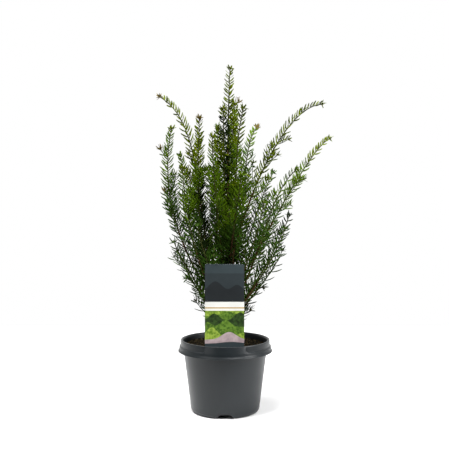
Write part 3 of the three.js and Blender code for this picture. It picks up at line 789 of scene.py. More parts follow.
def make_pot():
    shape = Shape()
    shape.add(*lathe(pot_outline(), pot_angles(), pot_radius))
    plastic = make_material("pot_plastic", "#0e1315", "#12171a", 9, 0.36, relief=0.05, relief_scale=900,
                            stretch=(1, 1, 0.35), specular=0.28)
    pot = shape.make("pot_shell", "pot", [plastic])
    cutters = [channel_cutter(turn) for turn in round_turn(CHANNELS)]
    cutters += [drain_cutter(turn) for turn in round_turn(DRAINS, 0.5)]
    cut(pot, cutters)
    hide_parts("pot")


# Soil

def soil_edge():
    """The soil's radius at the shoulder of the pot."""
    return wall_radius(SHOULDER_HEIGHT) - WALL - GAP


def soil_height(x, y):
    """Height of the loose surface: mounded round the trunk, with lumps."""
    mound = lerp(SOIL_TOP, SOIL_EDGE_TOP, smooth_step(SOIL_FLAT_RADIUS, soil_edge(), math.hypot(x, y)))
    place = Vector((x / SOIL_LUMP_WIDTH, y / SOIL_LUMP_WIDTH, SOIL_LUMP_LAYER))
    return mound + SOIL_LUMP * noise.fractal(place, *SOIL_NOISE) - SOIL_SINKING


def make_soil(peat):
    edge = soil_edge()
    top = [(edge * (1 - i / SOIL_RINGS), SOIL_TOP) for i in range(SOIL_RINGS)]
    outline = [
        (0, FLOOR_TOP + GAP),
        (BODY_FOOT[0] - FLOOR_CORNER - GAP, FLOOR_TOP + GAP),
        (wall_radius(BODY_FOOT[1]) - WALL - GAP, BODY_FOOT[1] + GAP),
        (edge, SHOULDER_HEIGHT),
        *top,
        (0, SOIL_TOP),
    ]
    vertices, faces = lathe(outline, round_turn(SOIL_COLUMNS))
    settled = [(x, y, soil_height(x, y) if z == SOIL_TOP else z) for x, y, z in vertices]
    shape = Shape()
    shape.add(settled, faces)
    soil = shape.make("soil_body", "soil", [peat])
    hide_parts("soil")


def grain_template():
    """An octahedron's corners and edge middles, all one unit from its middle, and its faces."""
    corners = [(1, 0, 0), (-1, 0, 0), (0, 1, 0), (0, -1, 0), (0, 0, 1), (0, 0, -1)]
    pairs = list(product((1, -1), repeat=2))
    middles = [(i, j, 0) for i, j in pairs] + [(i, 0, j) for i, j in pairs] + [(0, i, j) for i, j in pairs]
    number = {point: i for i, point in enumerate(corners + middles)}
    faces = []
    for x, y, z in product((1, -1), repeat=3):
        a, b, c = number[x, 0, 0], number[0, y, 0], number[0, 0, z]
        ab, bc, ca = number[x, y, 0], number[0, y, z], number[x, 0, z]
        rows = [(a, ab, ca), (ab, b, bc), (ca, bc, c), (ab, bc, ca)]
        faces += rows if x * y * z > 0 else [row[::-1] for row in rows]
    return np.array([unit(np.array(point, float)) for point in number]), faces


def turned(points, rng):
    """Points turned at random about all three axes."""
    turns = [rng.uniform(0, FULL_TURN) for _ in range(3)]
    return points @ np.array(Euler(turns, "ZYX").to_matrix()).T


def scatter(name, count, seed, sizes, materials):
    """Loose grains on the soil, each with its corners pushed in and out, off the trunk and the card."""
    rng = random.Random(seed)
    corners, faces = grain_template()
    shape = Shape()
    for _ in range(count):
        radius = (soil_edge() - GRAIN_TO_EDGE) * math.sqrt(rng.random())
        x, y = around(radius, rng.uniform(0, FULL_TURN))
        size = np.array([rng.uniform(*ends) for ends in sizes])
        beside_card = abs(x - CARD_CENTRE) < TONGUE_WIDTH / 2 + GRAIN_BESIDE_CARD
        at_card = beside_card and abs(y - CARD_FRONT) < size.max() + GRAIN_BEFORE_CARD
        if radius < GRAIN_TO_TRUNK + size.max() or at_card:
            continue
        rough = corners * [[rng.uniform(*GRAIN_ROUGHNESS)] for _ in corners] * size
        height = soil_height(x, y) + size.min() * rng.uniform(*GRAIN_LIFT)
        shape.add(turned(rough, rng) + (x, y, height), faces, rng.randrange(len(materials)))
    shape.make(name, "soil", materials, smooth=False)


def make_earth(name, dark, light, scale, roughness, relief, relief_scale=None):
    return make_material(name, dark, light, scale, roughness, relief, relief_scale, specular=0.05)


def make_ground():
    peat = make_earth("peat", "#080706", "#120f0a", 500, 0.95, 0.8, 900)
    dark = make_earth("crumb_dark", "#0e0c07", "#1a160e", 700, 0.95, 0.3)
    brown = make_earth("crumb_brown", "#241e12", "#3a311f", 700, 0.92, 0.3)
    straw = make_earth("chip_straw", "#55482e", "#7a6a47", 500, 0.85, 0.2)
    make_soil(peat)
    scatter("soil_crumbs", CRUMBS, CRUMB_SEED, CRUMB_SIZES, [dark, dark, brown])
    scatter("soil_chips", CHIPS, CHIP_SEED, CHIP_SIZES, [brown, dark, straw, brown])


# Card

def hill(x, centre, half_width, rise):
    """A rounded hill that falls away on both sides."""
    return rise * np.exp(-(((x - centre) / half_width) ** 2))


def card_levels(x):
    """The heights across the card between its layers, from its foot to its rounded top corners."""
    into = np.clip(np.abs(x) - (CARD_WIDTH / 2 - CARD_CORNER), 0, CARD_CORNER)
    card_top = CARD_TOP - CARD_CORNER + np.sqrt(CARD_CORNER**2 - into**2)
    levels = [np.full_like(x, CARD_FOOT)]
    for end, hills, _ in CARD_LAYERS:
        level = end + sum(hill(x, *row) for row in hills)
        levels.append(np.clip(np.maximum(level, levels[-1] + LEAST_LAYER), CARD_FOOT, card_top))
    return np.array(levels)


def card_sheet(back):
    """The card above the soil: corners, faces, and the numbers of its layers' inks and of its back."""
    x = np.linspace(-CARD_WIDTH / 2, CARD_WIDTH / 2, CARD_COLUMNS + 1)
    levels = card_levels(x)
    corners = np.arange(levels.size).reshape(levels.shape)
    low = corners[:-1, :-1].ravel()
    print_faces = np.column_stack([low, low + 1, low + len(x) + 1, low + len(x)])
    back_faces = levels.size + print_faces[:, ::-1]
    rim = [*corners[0], *corners[1:, -1], *corners[-1, -2::-1], *corners[-2:0:-1, 0]]
    rim_faces = [(a, levels.size + a, levels.size + b, b) for a, b in zip(rim, rim[1:] + rim[:1])]
    vertices = [
        (across + CARD_CENTRE, y, height)
        for y in (CARD_FRONT, CARD_FRONT + CARD_THICKNESS)
        for level in levels
        for across, height in zip(x, level)
    ]
    faces = [*print_faces, *back_faces, *rim_faces]
    layers = np.repeat(range(len(CARD_LAYERS)), CARD_COLUMNS).tolist()
    return vertices, faces, layers + [back] * (len(faces) - len(layers))


def card_tongue():
    """The narrow tongue that holds the card in the soil."""
    half = TONGUE_WIDTH / 2
    right = [
        (half - TONGUE_CORNER, TONGUE_FOOT),
        (half, TONGUE_FOOT + TONGUE_CORNER),
        (half, CARD_FOOT + TONGUE_OVERLAP),
    ]
    section = [(-across, height) for across, height in reversed(right)] + right
    placed = [(across + CARD_CENTRE, height) for across, height in section]
    return bar(placed, CARD_FRONT + CARD_THICKNESS - TONGUE_INSET, CARD_FRONT + TONGUE_INSET)


def make_card():
    inks = {name: make_material("print_" + name, *ink, 0.45, specular=0.2) for name, ink in INKS.items()}
    materials = [inks[ink] for _, _, ink in CARD_LAYERS]
    back = make_material("card_back", "#c9cccb", "#d6d9d8", 20, 0.5)
    shape = Shape()
    shape.add(*card_sheet(len(materials)))
    shape.add(*card_tongue(), len(materials))
    card = shape.make("card_print", "card", [*materials, back], smooth=False)
    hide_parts("label_card")


# Curves and rings

class Curve:
    """A Bezier curve that is read by its share of length."""

    def __init__(self, *points):
        self.points = [np.array(point, float) for point in points]
        self.steps = np.linspace(0, 1, CURVE_CHORDS + 1)
        chords = np.diff(self.at(self.steps), axis=0)
        self.lengths = np.concatenate([[0], np.cumsum(np.linalg.norm(chords, axis=1))])
        self.length = self.lengths[-1]

    def at(self, parameters):
        rows = self.points
        while len(rows) > 1:
            rows = [lerp(a, b, parameters[:, None]) for a, b in zip(rows, rows[1:])]
        return rows[0]

    def parameters(self, shares):
        return np.interp(np.atleast_1d(shares) * self.length, self.lengths, self.steps)

    def point(self, share):
        return self.points_at(share)[0]

    def points_at(self, shares):
        return self.at(self.parameters(shares))

    def tangents_at(self, shares):
        middle = self.parameters(shares)
        last = np.minimum(middle + TANGENT_STEP, 1)
        first = np.maximum(middle - TANGENT_STEP, 0)
        ahead = self.at(last) - self.at(first)
        return ahead / np.linalg.norm(ahead, axis=1)[:, None]


class Rings:
    """Frames square to a curve, carried along it without twisting."""

    def __init__(self, curve, start, end, count):
        self.shares = np.linspace(start, end, count + 1)
        self.centres = curve.points_at(self.shares)
        self.alongs = curve.tangents_at(self.shares)
        out = UP if abs(self.alongs[0][2]) < NEARLY_UPRIGHT else RIGHT
        outs = []
        for along in self.alongs:
            out = square_to(along, out)
            outs.append(out)
        self.outs = np.array(outs)
        self.acrosses = np.cross(self.alongs, self.outs)

    def radial(self, index, angle):
        """The way out from the curve at one ring and angle."""
        return swung(self.outs[index], self.acrosses[index], angle)


def combed(radial, along, strength):
    """On a stem that leans over, what grows round it is combed away from its underside."""
    upper = UP - along * along[2]
    leaning = np.linalg.norm(upper)
    if leaning < LEAST_LEAN:
        return radial
    upper = upper / leaning
    side = np.cross(along, upper)
    angle = math.atan2(radial @ side, radial @ upper) * (1 - strength * leaning)
    return swung(upper, side, angle)


def flattened(radial, along):
    """What grows round a stem is drawn towards its two sides."""
    side = square_to(along, RIGHT)
    front = np.cross(along, side)
    angle = math.atan2(radial @ front, radial @ side)
    angle -= NEEDLE_FLATTENING * math.sin(2 * angle) / 2
    return swung(side, front, angle)


# The source's rule: where the limbs and twigs run

def share_at_height(curve, height):
    """The share of a rising curve's length at a height, by halving."""
    low, high = 0.0, 1.0
    while high - low > HEIGHT_STEP:
        middle = (low + high) / 2
        if curve.point(middle)[2] < height:
            low = middle
        else:
            high = middle
    return low


def trunk_radius(height):
    """A true taper, with a flare at the foot."""
    share = (height - SOIL_TOP) / (TRUNK_TOP - SOIL_TOP)
    flare = ROOT_FLARE * math.exp(-(height - TRUNK_FOOT) / ROOT_FLARE_HEIGHT)
    return lerp(TRUNK_FOOT_RADIUS, TRUNK_TOP_RADIUS, share) + flare


def shoot_radius(share):
    return lerp(BOUGH_FOOT_RADIUS, SHOOT_TIP_RADIUS, share)


def twig_radius(share):
    return lerp(*TWIG_RADII, share)


def fine_radius(share):
    return lerp(*FINE_RADII, share)


def direction(bearing, rise=0):
    """The way towards a bearing, at a rise above level, both in degrees."""
    turn = math.radians(bearing)
    climb = math.radians(rise)
    return np.array([math.cos(climb) * math.cos(turn), math.cos(climb) * math.sin(turn), math.sin(climb)])


def shoot_curve(root, bearing, *targets):
    """By way of (distance, height) targets, measured from the root at first and the axis at last."""
    points = [root]
    for (distance, height), share in zip(targets, (2 / 3, 1 / 3, 0)):
        points.append(root * LEVEL * share + direction(bearing) * distance + UP * height)
    return Curve(*points)


def ahead_of(along, leaving, parts):
    """A mixture of the way along a stem, the way that leaves it, and up."""
    return unit(along * parts[0] + leaving * parts[1] + UP * parts[2])


def twig_curve(root, along, leaving, length):
    """A twig leaves its stem one way, then bends along the stem and upwards."""
    bend = root + leaving * length / 2
    return Curve(root, bend, bend + ahead_of(along, leaving, TWIG_AHEAD) * length / 2)


def whip_curve(root, along, leaving, length):
    """A fine twig stands off its stem, then runs on beside it."""
    bend = root + leaving * min(length / 2, WHIP_STAND_OFF)
    rest = length - np.linalg.norm(bend - root)
    return Curve(root, bend, bend + ahead_of(along, leaving, WHIP_AHEAD) * rest)


def seeded(seed):
    """The source's draws of numbers between 0 and 1."""
    state = seed

    def draw():
        nonlocal state
        state = (state * DRAW_FACTOR + DRAW_STEP) % DRAW_RANGE
        return state / DRAW_RANGE

    return draw


class Room:
    """Every limb that has its place, as short tapering bars, each with its owner."""

    def __init__(self):
        self.starts = np.empty((0, 3))
        self.ends = np.empty((0, 3))
        self.radii = np.empty((0, 2))
        self.owners = np.empty(0, int)

    def add(self, centres, radii, owner, skip=0):
        self.starts = np.vstack([self.starts, centres[skip:-1]])
        self.ends = np.vstack([self.ends, centres[skip + 1 :]])
        self.radii = np.vstack([self.radii, np.column_stack([radii[skip:-1], radii[skip + 1 :]])])
        self.owners = np.append(self.owners, [owner] * (len(centres) - 1 - skip))

    def is_clear(self, centres, radii, own):
        """Whether a limb keeps the gap from every bar that isn't its own."""
        strangers = ~np.isin(self.owners, own)
        starts, ends, widths = self.starts[strangers], self.ends[strangers], self.radii[strangers]
        v = ends - starts
        vv = (v * v).sum(1)
        for i in range(len(centres) - 1):
            u = centres[i + 1] - centres[i]
            w = centres[i] - starts
            uu = u @ u
            uv = v @ u
            uw = w @ u
            vw = (v * w).sum(1)
            spread = uu * vv - uv * uv
            crossing = (uv * vw - vv * uw) / np.maximum(spread, NEARLY_PARALLEL)
            guess = np.where(spread > NEARLY_PARALLEL, crossing, 0).clip(0, 1)
            t = ((uv * guess + vw) / vv).clip(0, 1)
            s = ((uv * t - uw) / uu).clip(0, 1)
            between = np.linalg.norm(w + s[:, None] * u - t[:, None] * v, axis=1)
            taken = lerp(radii[i], radii[i + 1], s) + lerp(widths[:, 0], widths[:, 1], t)
            if (between - taken <= GAP).any():
                return False
        return True


def is_off_pot_and_card(point):
    x, y, z = point
    if math.hypot(x, y) < RIM_SKIRT_RADIUS + CLEARANCE and z < POT_HEIGHT + CLEARANCE:
        return False
    at_card = abs(x - CARD_CENTRE) < CARD_WIDTH / 2 + CLEARANCE and z < CARD_TOP + CLEARANCE
    return not (at_card and abs(y - CARD_FRONT) < CARD_CLEARANCE)


class Stem:
    """A leafy stem: its curve, where its leaves start, its radius along it, and its order."""

    def __init__(self, curve, start, radius_at, order):
        self.curve = curve
        self.start = start
        self.radius_at = radius_at
        self.order = order
        self.leafy_from = start + BARE_FOOT[order] / curve.length
        self.length = curve.length * (1 - start)
        rings = Rings(curve, start, 1, max(STEM_LEAST_STEPS, int(self.length / STEM_STEP + 0.5)))
        self.centres = rings.centres
        self.radii = radius_at(rings.shares) * STEM_FATTER
        self.bronze = False
        self.needle_lean = NEEDLE_LEAN


class Shoot:
    """One leafy shoot: a main stem and the stems that leave it."""

    def __init__(self, name, curve, start, radius_at, number):
        self.name = name
        self.curve = curve
        self.start = start
        self.radius_at = radius_at
        self.number = number
        self.draw = seeded(SEED + SEED_STEP * number)
        self.stems = []
        self.outer = min(1, np.linalg.norm(curve.point(1) * LEVEL) / OUTER_SHOOT)
        self.has_bough = number > 0 and start > 0

    def start_stem(self, room):
        """The main stem, which starts a gap above its bough if it has one."""
        start = self.start + GAP / self.curve.length if self.has_bough else self.start
        main = Stem(self.curve, start, self.radius_at, MAIN)
        main.leafy_from = BOUGH_BARE if self.has_bough else start
        main.bronze = self.name in BRONZE_TIPS
        main.needle_lean = NEEDLE_LEAN if self.number else LEADER_LEAN
        self.stems.append(main)
        room.add(main.centres, main.radii, self.number, 0 if self.start else 1)

    def try_stem(self, room, curve, radius_at, order):
        """Keeps a side stem where it is clear of other shoots, off the pot and card, and in reach."""
        stem = Stem(curve, 0, radius_at, order)
        main = self.stems[0].centres
        reach = WHIP_REACH if order == FINE else REACH
        for point in stem.centres[1:]:
            near = np.linalg.norm(main - point, axis=1).min() < reach
            if not (near and is_off_pot_and_card(point)):
                return False
        own = [self.number]
        if order == FINE and self.number:
            own.append(-1 - self.number)
        if not room.is_clear(stem.centres, stem.radii, own):
            return False
        room.add(stem.centres, stem.radii, self.number)
        self.stems.append(stem)
        return True


def grow_forks(shoot, room):
    for name, at, bearing, rise, length in FORKS:
        if name != shoot.name:
            continue
        leaving = direction(bearing, rise)
        root = shoot.curve.point(lerp(shoot.start, 1, at))
        if shoot.try_stem(room, twig_curve(root, leaving, leaving, length), twig_radius, TWIG):
            shoot.stems[-1].bronze = shoot.name in BRONZE_FORKS


def leaving_at(curve, share, roll, angle):
    """Where a side stem starts, the way its parent runs there, and the way it leaves, turned to roll."""
    rings = Rings(curve, share, 1, 1)
    along = rings.alongs[0]
    radial = combed(rings.radial(0, roll), along, COMBING)
    return rings.centres[0], along, swung(along, radial, angle)


def grow_twigs(shoot, room):
    count = int(shoot.curve.length * (1 - shoot.start) / TWIG_SPACING + 0.5)
    roll = shoot.draw() * FULL_TURN
    for i in range(count):
        at = lerp(TWIG_FIRST, TWIG_LAST, (i + shoot.draw()) / count)
        vary = 1 + TWIG_VARIATION * (2 * shoot.draw() - 1)
        length = lerp(TWIG_LONGEST, TWIG_SHORTEST, at) * vary
        share = lerp(shoot.start, 1, at)
        for _ in range(TWIG_TRIES):
            roll += GOLDEN_ANGLE
            root, along, leaving = leaving_at(shoot.curve, share, roll, TWIG_ANGLE)
            if shoot.try_stem(room, twig_curve(root, along, leaving, length), twig_radius, TWIG):
                break


def grow_fine_twig(shoot, room, curve, share, length, rng):
    """Tries to start a fine twig at a share of a curve, one side after another."""
    roll = rng.uniform(0, FULL_TURN)
    for _ in range(FINE_TRIES):
        roll += GOLDEN_ANGLE
        root, along, leaving = leaving_at(curve, share, roll, FINE_ANGLE)
        if shoot.try_stem(room, whip_curve(root, along, leaving, length), fine_radius, FINE):
            break
        length *= FINE_SHORTER


def grow_fine_twigs(shoot, room, rng):
    """Close together on the shoots in the middle of the crown, further apart on the outer ones."""
    crowding = lerp(*FINE_CROWDING, shoot.outer)
    for parent in list(shoot.stems):
        order = min(parent.order, TWIG)
        last = FINE_LAST[order]
        count = int(parent.length * last / (FINE_SPACING[order] * crowding))
        for i in range(count):
            at = last * (i + rng.uniform(*FINE_PLACES)) / count
            length = lerp(FINE_LONGEST[order], FINE_SHORTEST[order], at / last)
            length *= rng.uniform(*FINE_VARIATION)
            length = min(length, FINE_SHARE * parent.length * (1 - at))
            grow_fine_twig(shoot, room, parent.curve, lerp(parent.start, 1, at), length, rng)


def grow_low_twigs(shoot, room, rng):
    """Fine twigs that leave the bare bough below the shoot's leafy part."""
    if not shoot.has_bough:
        return
    for _ in range(LOW_TWIGS):
        share = rng.uniform(*LOW_TWIG_SHARE)
        grow_fine_twig(shoot, room, shoot.curve, share, rng.uniform(*LOW_TWIG_LENGTH), rng)


def shoot_plan(trunk_curve):
    """The leader, then each shoot, as the source numbers them."""
    start = share_at_height(trunk_curve, TRUNK_TOP + GAP)

    def leader_radius(share):
        return lerp(TRUNK_TOP_RADIUS, SHOOT_TIP_RADIUS, (share - start) / (1 - start))

    shoots = [Shoot("leader", trunk_curve, start, leader_radius, 0)]
    for number, (name, bearing, foot, *targets) in enumerate(SHOOTS, 1):
        root = trunk_curve.point(share_at_height(trunk_curve, foot))
        bough = 0 if name in LEAFY_FROM_TRUNK else BOUGH_SHARE
        shoots.append(Shoot(name, shoot_curve(root, bearing, *targets), bough, shoot_radius, number))
    return shoots


def grow_plant():
    """Every stem in its place, by the source's rule and order, then the finer twigs."""
    trunk_curve = Curve(*TRUNK_POINTS)
    shoots = shoot_plan(trunk_curve)
    room = Room()
    levels = np.array([trunk_curve.point(share_at_height(trunk_curve, level)) for level in TRUNK_LEVELS])
    room.add(levels, [trunk_radius(level) for level in TRUNK_LEVELS], -1)
    for shoot in shoots:
        if shoot.has_bough:
            count = math.ceil(shoot.curve.length * shoot.start / BOUGH_STEP)
            rings = Rings(shoot.curve, 0, shoot.start, count)
            room.add(rings.centres, shoot_radius(rings.shares), -1 - shoot.number, 1)
    for shoot in shoots:
        shoot.start_stem(room)
    for shoot in shoots:
        grow_forks(shoot, room)
    for shoot in shoots:
        grow_twigs(shoot, room)
    rng = random.Random(SEED)
    for shoot in shoots:
        if shoot.name not in OPEN_SHOOTS + ARCHES:
            grow_fine_twigs(shoot, room, rng)
    for shoot in shoots:
        if shoot.name not in OPEN_SHOOTS:
            grow_low_twigs(shoot, room, rng)
    return trunk_curve, shoots


# Bark and stems

def tube(shape, rings, radii, sides, number=0, radius_of=lambda radius, point, angle: radius):
    """A tube round the rings, closed at both ends."""
    vertices = []
    for i, (centre, radius) in enumerate(zip(rings.centres, radii)):
        for angle in round_turn(sides):
            radial = rings.radial(i, angle)
            real = radius_of(radius, centre + radial * radius, angle)
            vertices.append(centre + radial * real)
    faces = grid_faces(len(radii), sides)
    faces.append(tuple(range(sides - 1, -1, -1)))
    faces.append(tuple(range(len(vertices) - sides, len(vertices))))
    shape.add(vertices, faces, number)


def bark_relief(depth):
    """Flaky ridges that run along a limb."""

    def radius_of(radius, point, angle):
        ridges = noise.fractal(Vector(point / RIDGE_SIZE), *RIDGE_NOISE)
        knots = max(0, noise.noise(Vector(point / KNOT_SIZE)) - KNOT_START)
        return radius * (1 + depth * ridges + KNOT_RISE * knots)

    return radius_of


def make_bark(name, dark, light, relief):
    return make_material(name, dark, light, 260, 0.8, relief=relief, stretch=(1, 1, 0.2), specular=0.03)


def make_trunk(trunk_curve, bark):
    foot = share_at_height(trunk_curve, TRUNK_FOOT)
    top = share_at_height(trunk_curve, TRUNK_TOP + GAP)
    rings = Rings(trunk_curve, foot, top, TRUNK_RINGS)
    relief = bark_relief(TRUNK_RELIEF)

    def radius_of(radius, point, angle):
        flare = math.exp(-(point[2] - TRUNK_FOOT) / ROOT_FLARE_HEIGHT)
        flute = FLUTE_DEPTH * flare * math.cos(FLUTES * angle + FLUTE_TURN)
        return relief(radius, point, angle) * (1 + flute)

    shape = Shape()
    tube(shape, rings, [trunk_radius(centre[2]) for centre in rings.centres], TRUNK_SIDES, 0, radius_of)
    trunk = shape.make("trunk_bark", "bark", [bark])
    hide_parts("trunk")


def make_boughs(shoots, bark):
    shape = Shape()
    names = []
    for shoot in shoots:
        if not shoot.has_bough:
            continue
        length = shoot.curve.length
        count = max(BOUGH_LEAST_RINGS, int(length * shoot.start / BOUGH_RING))
        rings = Rings(shoot.curve, 0, shoot.start + BOUGH_OVERLAP / length, count)
        collar = 1 + COLLAR * np.exp(-rings.shares * length / COLLAR_REACH)
        tube(shape, rings, shoot_radius(rings.shares) * collar, BOUGH_SIDES, 0, bark_relief(BOUGH_RELIEF))
        names.append("bough_" + shoot.name)
    boughs = shape.make("boughs_bark", "young_bark", [bark])
    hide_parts(*names)


def make_stems(shoots, brown, olive, green):
    """Leafy stems: brown low down on the main ones, olive further up, green on the twigs."""
    shape = Shape()
    obstacles = Shape()
    for stem in [stem for shoot in shoots for stem in shoot.stems]:
        rings = Rings(stem.curve, stem.start, 1, max(STEM_LEAST_RINGS, int(stem.length / STEM_RING)))
        radii = stem.radius_at(rings.shares) * STEM_THINNING[stem.order]
        sides = STEM_SIDES[stem.order]
        first = len(shape.faces)
        tube(shape, rings, radii, sides, GREEN if stem.order else OLIVE, bark_relief(STEM_RELIEF))
        tube(obstacles, rings, radii, OBSTACLE_SIDES)
        if stem.order == MAIN:
            old = int(len(radii) * OLD_SHARE) * sides
            shape.numbers[first : first + old] = [BROWN] * old
    shape.make("stems", "foliage", [brown, olive, green])
    return BVHTree.FromPolygons(obstacles.vertices, obstacles.faces)


# Needles and buds

Needle = namedtuple("Needle", "root ahead face curl length width pair")


def needle_template():
    """A flat blade with a raised rib: (along, across, up) shares, faces, and which faces are upper."""
    sides = 4
    points = []
    for along, width in NEEDLE_RINGS:
        points += [(along, -width, 0), (along, 0, NEEDLE_RIB * width)]
        points += [(along, width, 0), (along, 0, -NEEDLE_KEEL * width)]
    points.append((1, 0, 0))
    last = len(points) - 1
    faces = [(3, 2, 1, 0), *grid_faces(len(NEEDLE_RINGS), sides), *fan_faces(sides, last - sides, last)]
    upper = [False, *[True, True, False, False] * len(NEEDLE_RINGS)]
    return np.array(points), faces, upper


def needles_shape(needles):
    """The template, placed and bent once for each needle."""
    points, faces, upper = needle_template()
    *ways, lengths, widths, pairs = zip(*needles)
    roots, aheads, normals, curls = (np.array(way)[:, None] for way in ways)
    lengths, widths = (np.array(sizes)[:, None, None] for sizes in (lengths, widths))
    along, across, high = points.T[:, None, :, None]
    vertices = roots + lengths * (aheads * along + curls * along**2)
    vertices = vertices + np.cross(aheads, normals) * widths / 2 * across
    vertices = vertices + normals * NEEDLE_THICKNESS * high
    shape = Shape()
    shape.vertices = vertices.reshape(-1, 3)
    for i, pair in enumerate(pairs):
        start = i * len(points)
        shape.faces.extend(tuple(start + corner for corner in face) for face in faces)
        shape.numbers.extend(int(2 * pair + (not top)) for top in upper)
    return shape


def stem_tone(stem, rng):
    """Painted light and shade: darker at the crown's back, lighter where it faces the light and on the
    front feather, and varied at random.
    """
    middle = stem.centres.mean(axis=0)
    tone = PAINTED_LIGHT_BY_FRONT * -middle[1] / REACH + rng.uniform(-TONE_BY_STEM, TONE_BY_STEM)
    low, high = FEATHER_HEIGHTS
    if abs(middle[0]) < FEATHER_REACH and middle[1] < -FEATHER_REACH and low < middle[2] < high:
        tone += PAINTED_LIGHT_ON_FEATHER
    return tone


def pair_at(tone, height):
    """The pair of colours for a tone, which rises towards the crown's top, so that the painted shade pair
    falls mostly low in the crown.
    """
    tone += TONE_BY_HEIGHT * smooth_step(*TONE_HEIGHTS, height)
    return sum(tone > step for step in TONE_STEPS)


def is_in(places, root):
    """Whether a needle is rooted in one of the places."""
    return any(abs(root[0] - middle) < half and low < root[2] < high for middle, half, low, high in places)


def is_blocked(root, ahead, tip, obstacles):
    """Whether a needle would cut a stem, the pot or the card."""
    first = root + ahead * NEEDLE_LOOK_FROM
    hit = obstacles.ray_cast(Vector(first), Vector(unit(tip - first)), np.linalg.norm(tip - first))
    return hit[0] is not None or not is_off_pot_and_card(tip)


def is_thinned(stem, root, rng):
    """Whether a needle is left out: some are in clefts, and most of the side stems' in sky gaps."""
    if is_in(PAINTED_SHADE_CLEFTS, root) and rng.random() < CLEFT_SKIP:
        return True
    return stem.order != MAIN and is_in(SKY_GAPS, root) and rng.random() < SKY_SKIP


def needle_ways(stem, rings, i, angle, opening, rng):
    """A needle's root, the way it points, the way it bends, and the way its face looks."""
    along = rings.alongs[i]
    radial = flattened(combed(rings.radial(i, angle), along, NEEDLE_COMBING), along)
    lean = stem.needle_lean * opening + math.radians(rng.gauss(0, LEAN_SPREAD))
    ahead = unit(swung(along, radial, lean))
    upper = square_to(ahead, along)
    root = rings.centres[i] + radial * float(stem.radius_at(rings.shares[i])) * NEEDLE_SINKING
    flat = np.cross(ahead, upper)
    if flat @ (root * LEVEL) < 0:
        flat = -flat
    twist = math.radians(rng.gauss(NEEDLE_TWIST, NEEDLE_TWIST_SPREAD))
    return root, ahead, upper, swung(upper, flat, twist)


def leaf_stem(needles, stem, crowding, tone, obstacles, rng):
    """Needles in a spiral along a stem, closing up into a tuft at its tip."""
    spacing = NEEDLE_SPACING[stem.order] * crowding
    count = max(LEAST_NEEDLES, int(stem.curve.length * (1 - stem.leafy_from) / spacing))
    rings = Rings(stem.curve, stem.leafy_from, 1, count)
    closing_reach = min(TIP_CLOSING, TIP_SHARE * stem.length)
    shortening_reach = min(TIP_SHORTENING, TIP_SHARE * stem.length)
    tone += stem_tone(stem, rng)
    chance = BRONZE_CHANCE[stem.order] if stem.centres[-1][2] > BRONZE_LOWEST else 0
    bronze = rng.random() < chance or stem.bronze
    angle = rng.uniform(0, FULL_TURN)
    for i in range(count + 1):
        to_tip = (count - i) * spacing
        angle += GOLDEN_ANGLE + rng.uniform(-SPIRAL_SPREAD, SPIRAL_SPREAD)
        opening = lerp(TIP_LEAN, 1, min(1, to_tip / closing_reach))
        root, ahead, upper, face = needle_ways(stem, rings, i, angle, opening, rng)
        raised = smooth_step(*LENGTH_HEIGHTS, root[2])
        size = lerp(TIP_NEEDLE, 1, min(1, to_tip / shortening_reach))
        length = lerp(*NEEDLE_LENGTHS, raised) * size * rng.uniform(*LENGTH_VARIATION)
        tip = root + (ahead + upper * NEEDLE_BEND) * length
        if is_blocked(root, ahead, tip, obstacles) or is_thinned(stem, root, rng):
            continue
        # Needles rooted in a cleft take the pair of painted shade
        pair = PAINTED_SHADE if is_in(PAINTED_SHADE_CLEFTS, root) else pair_at(tone, root[2])
        if bronze and to_tip < TIP_TUFT:
            pair = BRONZE
        curl = upper * NEEDLE_BEND * rng.uniform(*BEND_VARIATION)
        width = NEEDLE_WIDTHS[stem.order] * lerp(LOW_NARROWING, 1, raised) * rng.uniform(*WIDTH_VARIATION)
        needles.append(Needle(root, ahead, face, curl, length, width, pair))
    add_tuft(needles, stem, BRONZE if bronze else pair_at(tone, stem.centres[-1][2]), rng)


def add_tuft(needles, stem, pair, rng):
    """Needles that spread from a stem's very tip."""
    rings = Rings(stem.curve, 1 - TUFT_DEPTH / stem.curve.length, 1, 1)
    along = rings.alongs[0]
    angle = rng.uniform(0, FULL_TURN)
    for _ in range(TUFT_NEEDLES[stem.order]):
        angle += GOLDEN_ANGLE
        lean = math.radians(rng.uniform(*TUFT_LEANS))
        ahead = swung(along, rings.radial(0, angle), lean)
        upper = square_to(ahead, along)
        face = unit(upper + np.cross(ahead, upper) * rng.uniform(-1, 1))
        length = TUFT_LENGTH * rng.uniform(*TUFT_VARIATION)
        width = NEEDLE_WIDTHS[stem.order] * TUFT_WIDTH
        needles.append(Needle(rings.centres[0], ahead, face, -upper * NEEDLE_BEND / 2, length, width, pair))


def add_bud(shape, stem):
    """A pointed bud at a stem's tip."""
    rings = Rings(stem.curve, 1 - TIP_STEP / stem.curve.length, 1, 1)
    tip = rings.centres[-1]
    along = rings.alongs[-1]
    vertices = []
    for (high, wide), angle in product(BUD_PROFILE, round_turn(BUD_SIDES)):
        out = rings.radial(-1, angle) * wide * BUD_RADIUS
        vertices.append(tip + along * (high * BUD_LENGTH - BUD_SINKING) + out)
    vertices.append(tip + along * BUD_LENGTH)
    last = len(vertices) - 1
    faces = grid_faces(len(BUD_PROFILE), BUD_SIDES) + fan_faces(BUD_SIDES, last - BUD_SIDES, last)
    faces.append(tuple(range(BUD_SIDES - 1, -1, -1)))
    shape.add(vertices, faces)


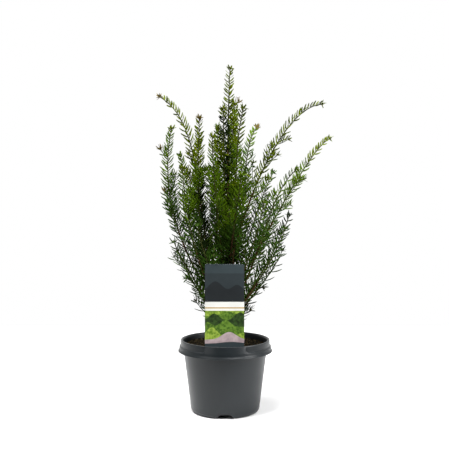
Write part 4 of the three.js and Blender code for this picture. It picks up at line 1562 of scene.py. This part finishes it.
def leaf_materials():
    """Pairs of an upper and an under side, from the green of painted shade to the bronze of the tips."""
    materials = []
    for name, *shades in LEAF_COLOURS:
        materials.append(make_material("leaf_" + name, *shades[:2], 160, 0.5, specular=0))
        materials.append(make_material("leaf_" + name + "_under", *shades[2:], 160, 0.6, specular=0))
    return materials


def spacing_of(shoot):
    """How far apart a shoot's needles stand, against those of a plain shoot."""
    if shoot.name in SPARSE_SHOOTS:
        return SPARSER
    return DENSER if shoot.name in DENSE_SHOOTS else 1


def make_foliage(shoots, obstacles):
    rng = random.Random(SEED + 1)
    needles = []
    buds = Shape()
    for shoot in shoots:
        freshness = TONE_OF_FRESHEST if shoot.name in FRESHEST else 0
        tone = rng.uniform(-TONE_BY_SHOOT, TONE_BY_SHOOT) + freshness
        for stem in shoot.stems:
            open_air = max(shoot.outer, smooth_step(*CROWDED_HEIGHTS, stem.centres[:, 2].mean()))
            crowding = spacing_of(shoot) * lerp(*NEEDLE_CROWDING, open_air)
            leaf_stem(needles, stem, crowding, tone, obstacles, rng)
            add_bud(buds, stem)
    materials = leaf_materials()
    names = ["leaves_" + shoot.name for shoot in shoots]
    middle = np.median([needle.root[0] for needle in needles])
    left = [needle for needle in needles if needle.root[0] < middle]
    right = [needle for needle in needles if needle.root[0] >= middle]
    for name, half in (("needles_left", left), ("needles_right", right)):
        piece = needles_shape(half).make(name, "foliage", materials, smooth=False)
        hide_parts(*names)
    bud = make_material("bud_scale", "#3c3a14", "#57501f", 300, 0.6, relief=0.2)
    buds.make("buds", "foliage", [bud])


def make_plant():
    trunk_curve, shoots = grow_plant()
    bark = make_bark("bark_old", "#241810", "#43301f", 0.6)
    brown = make_bark("bark_young", "#2a1f12", "#46351e", 0.3)
    olive = make_bark("stem_olive", "#282c12", "#383c1a", 0.15)
    green = make_bark("stem_green", "#2c3813", "#3c4a1b", 0.1)
    make_trunk(trunk_curve, bark)
    make_boughs(shoots, brown)
    obstacles = make_stems(shoots, brown, olive, green)
    make_foliage(shoots, obstacles)


set_camera()
set_studio()
make_floor()
make_pot()
make_ground()
make_card()
make_plant()
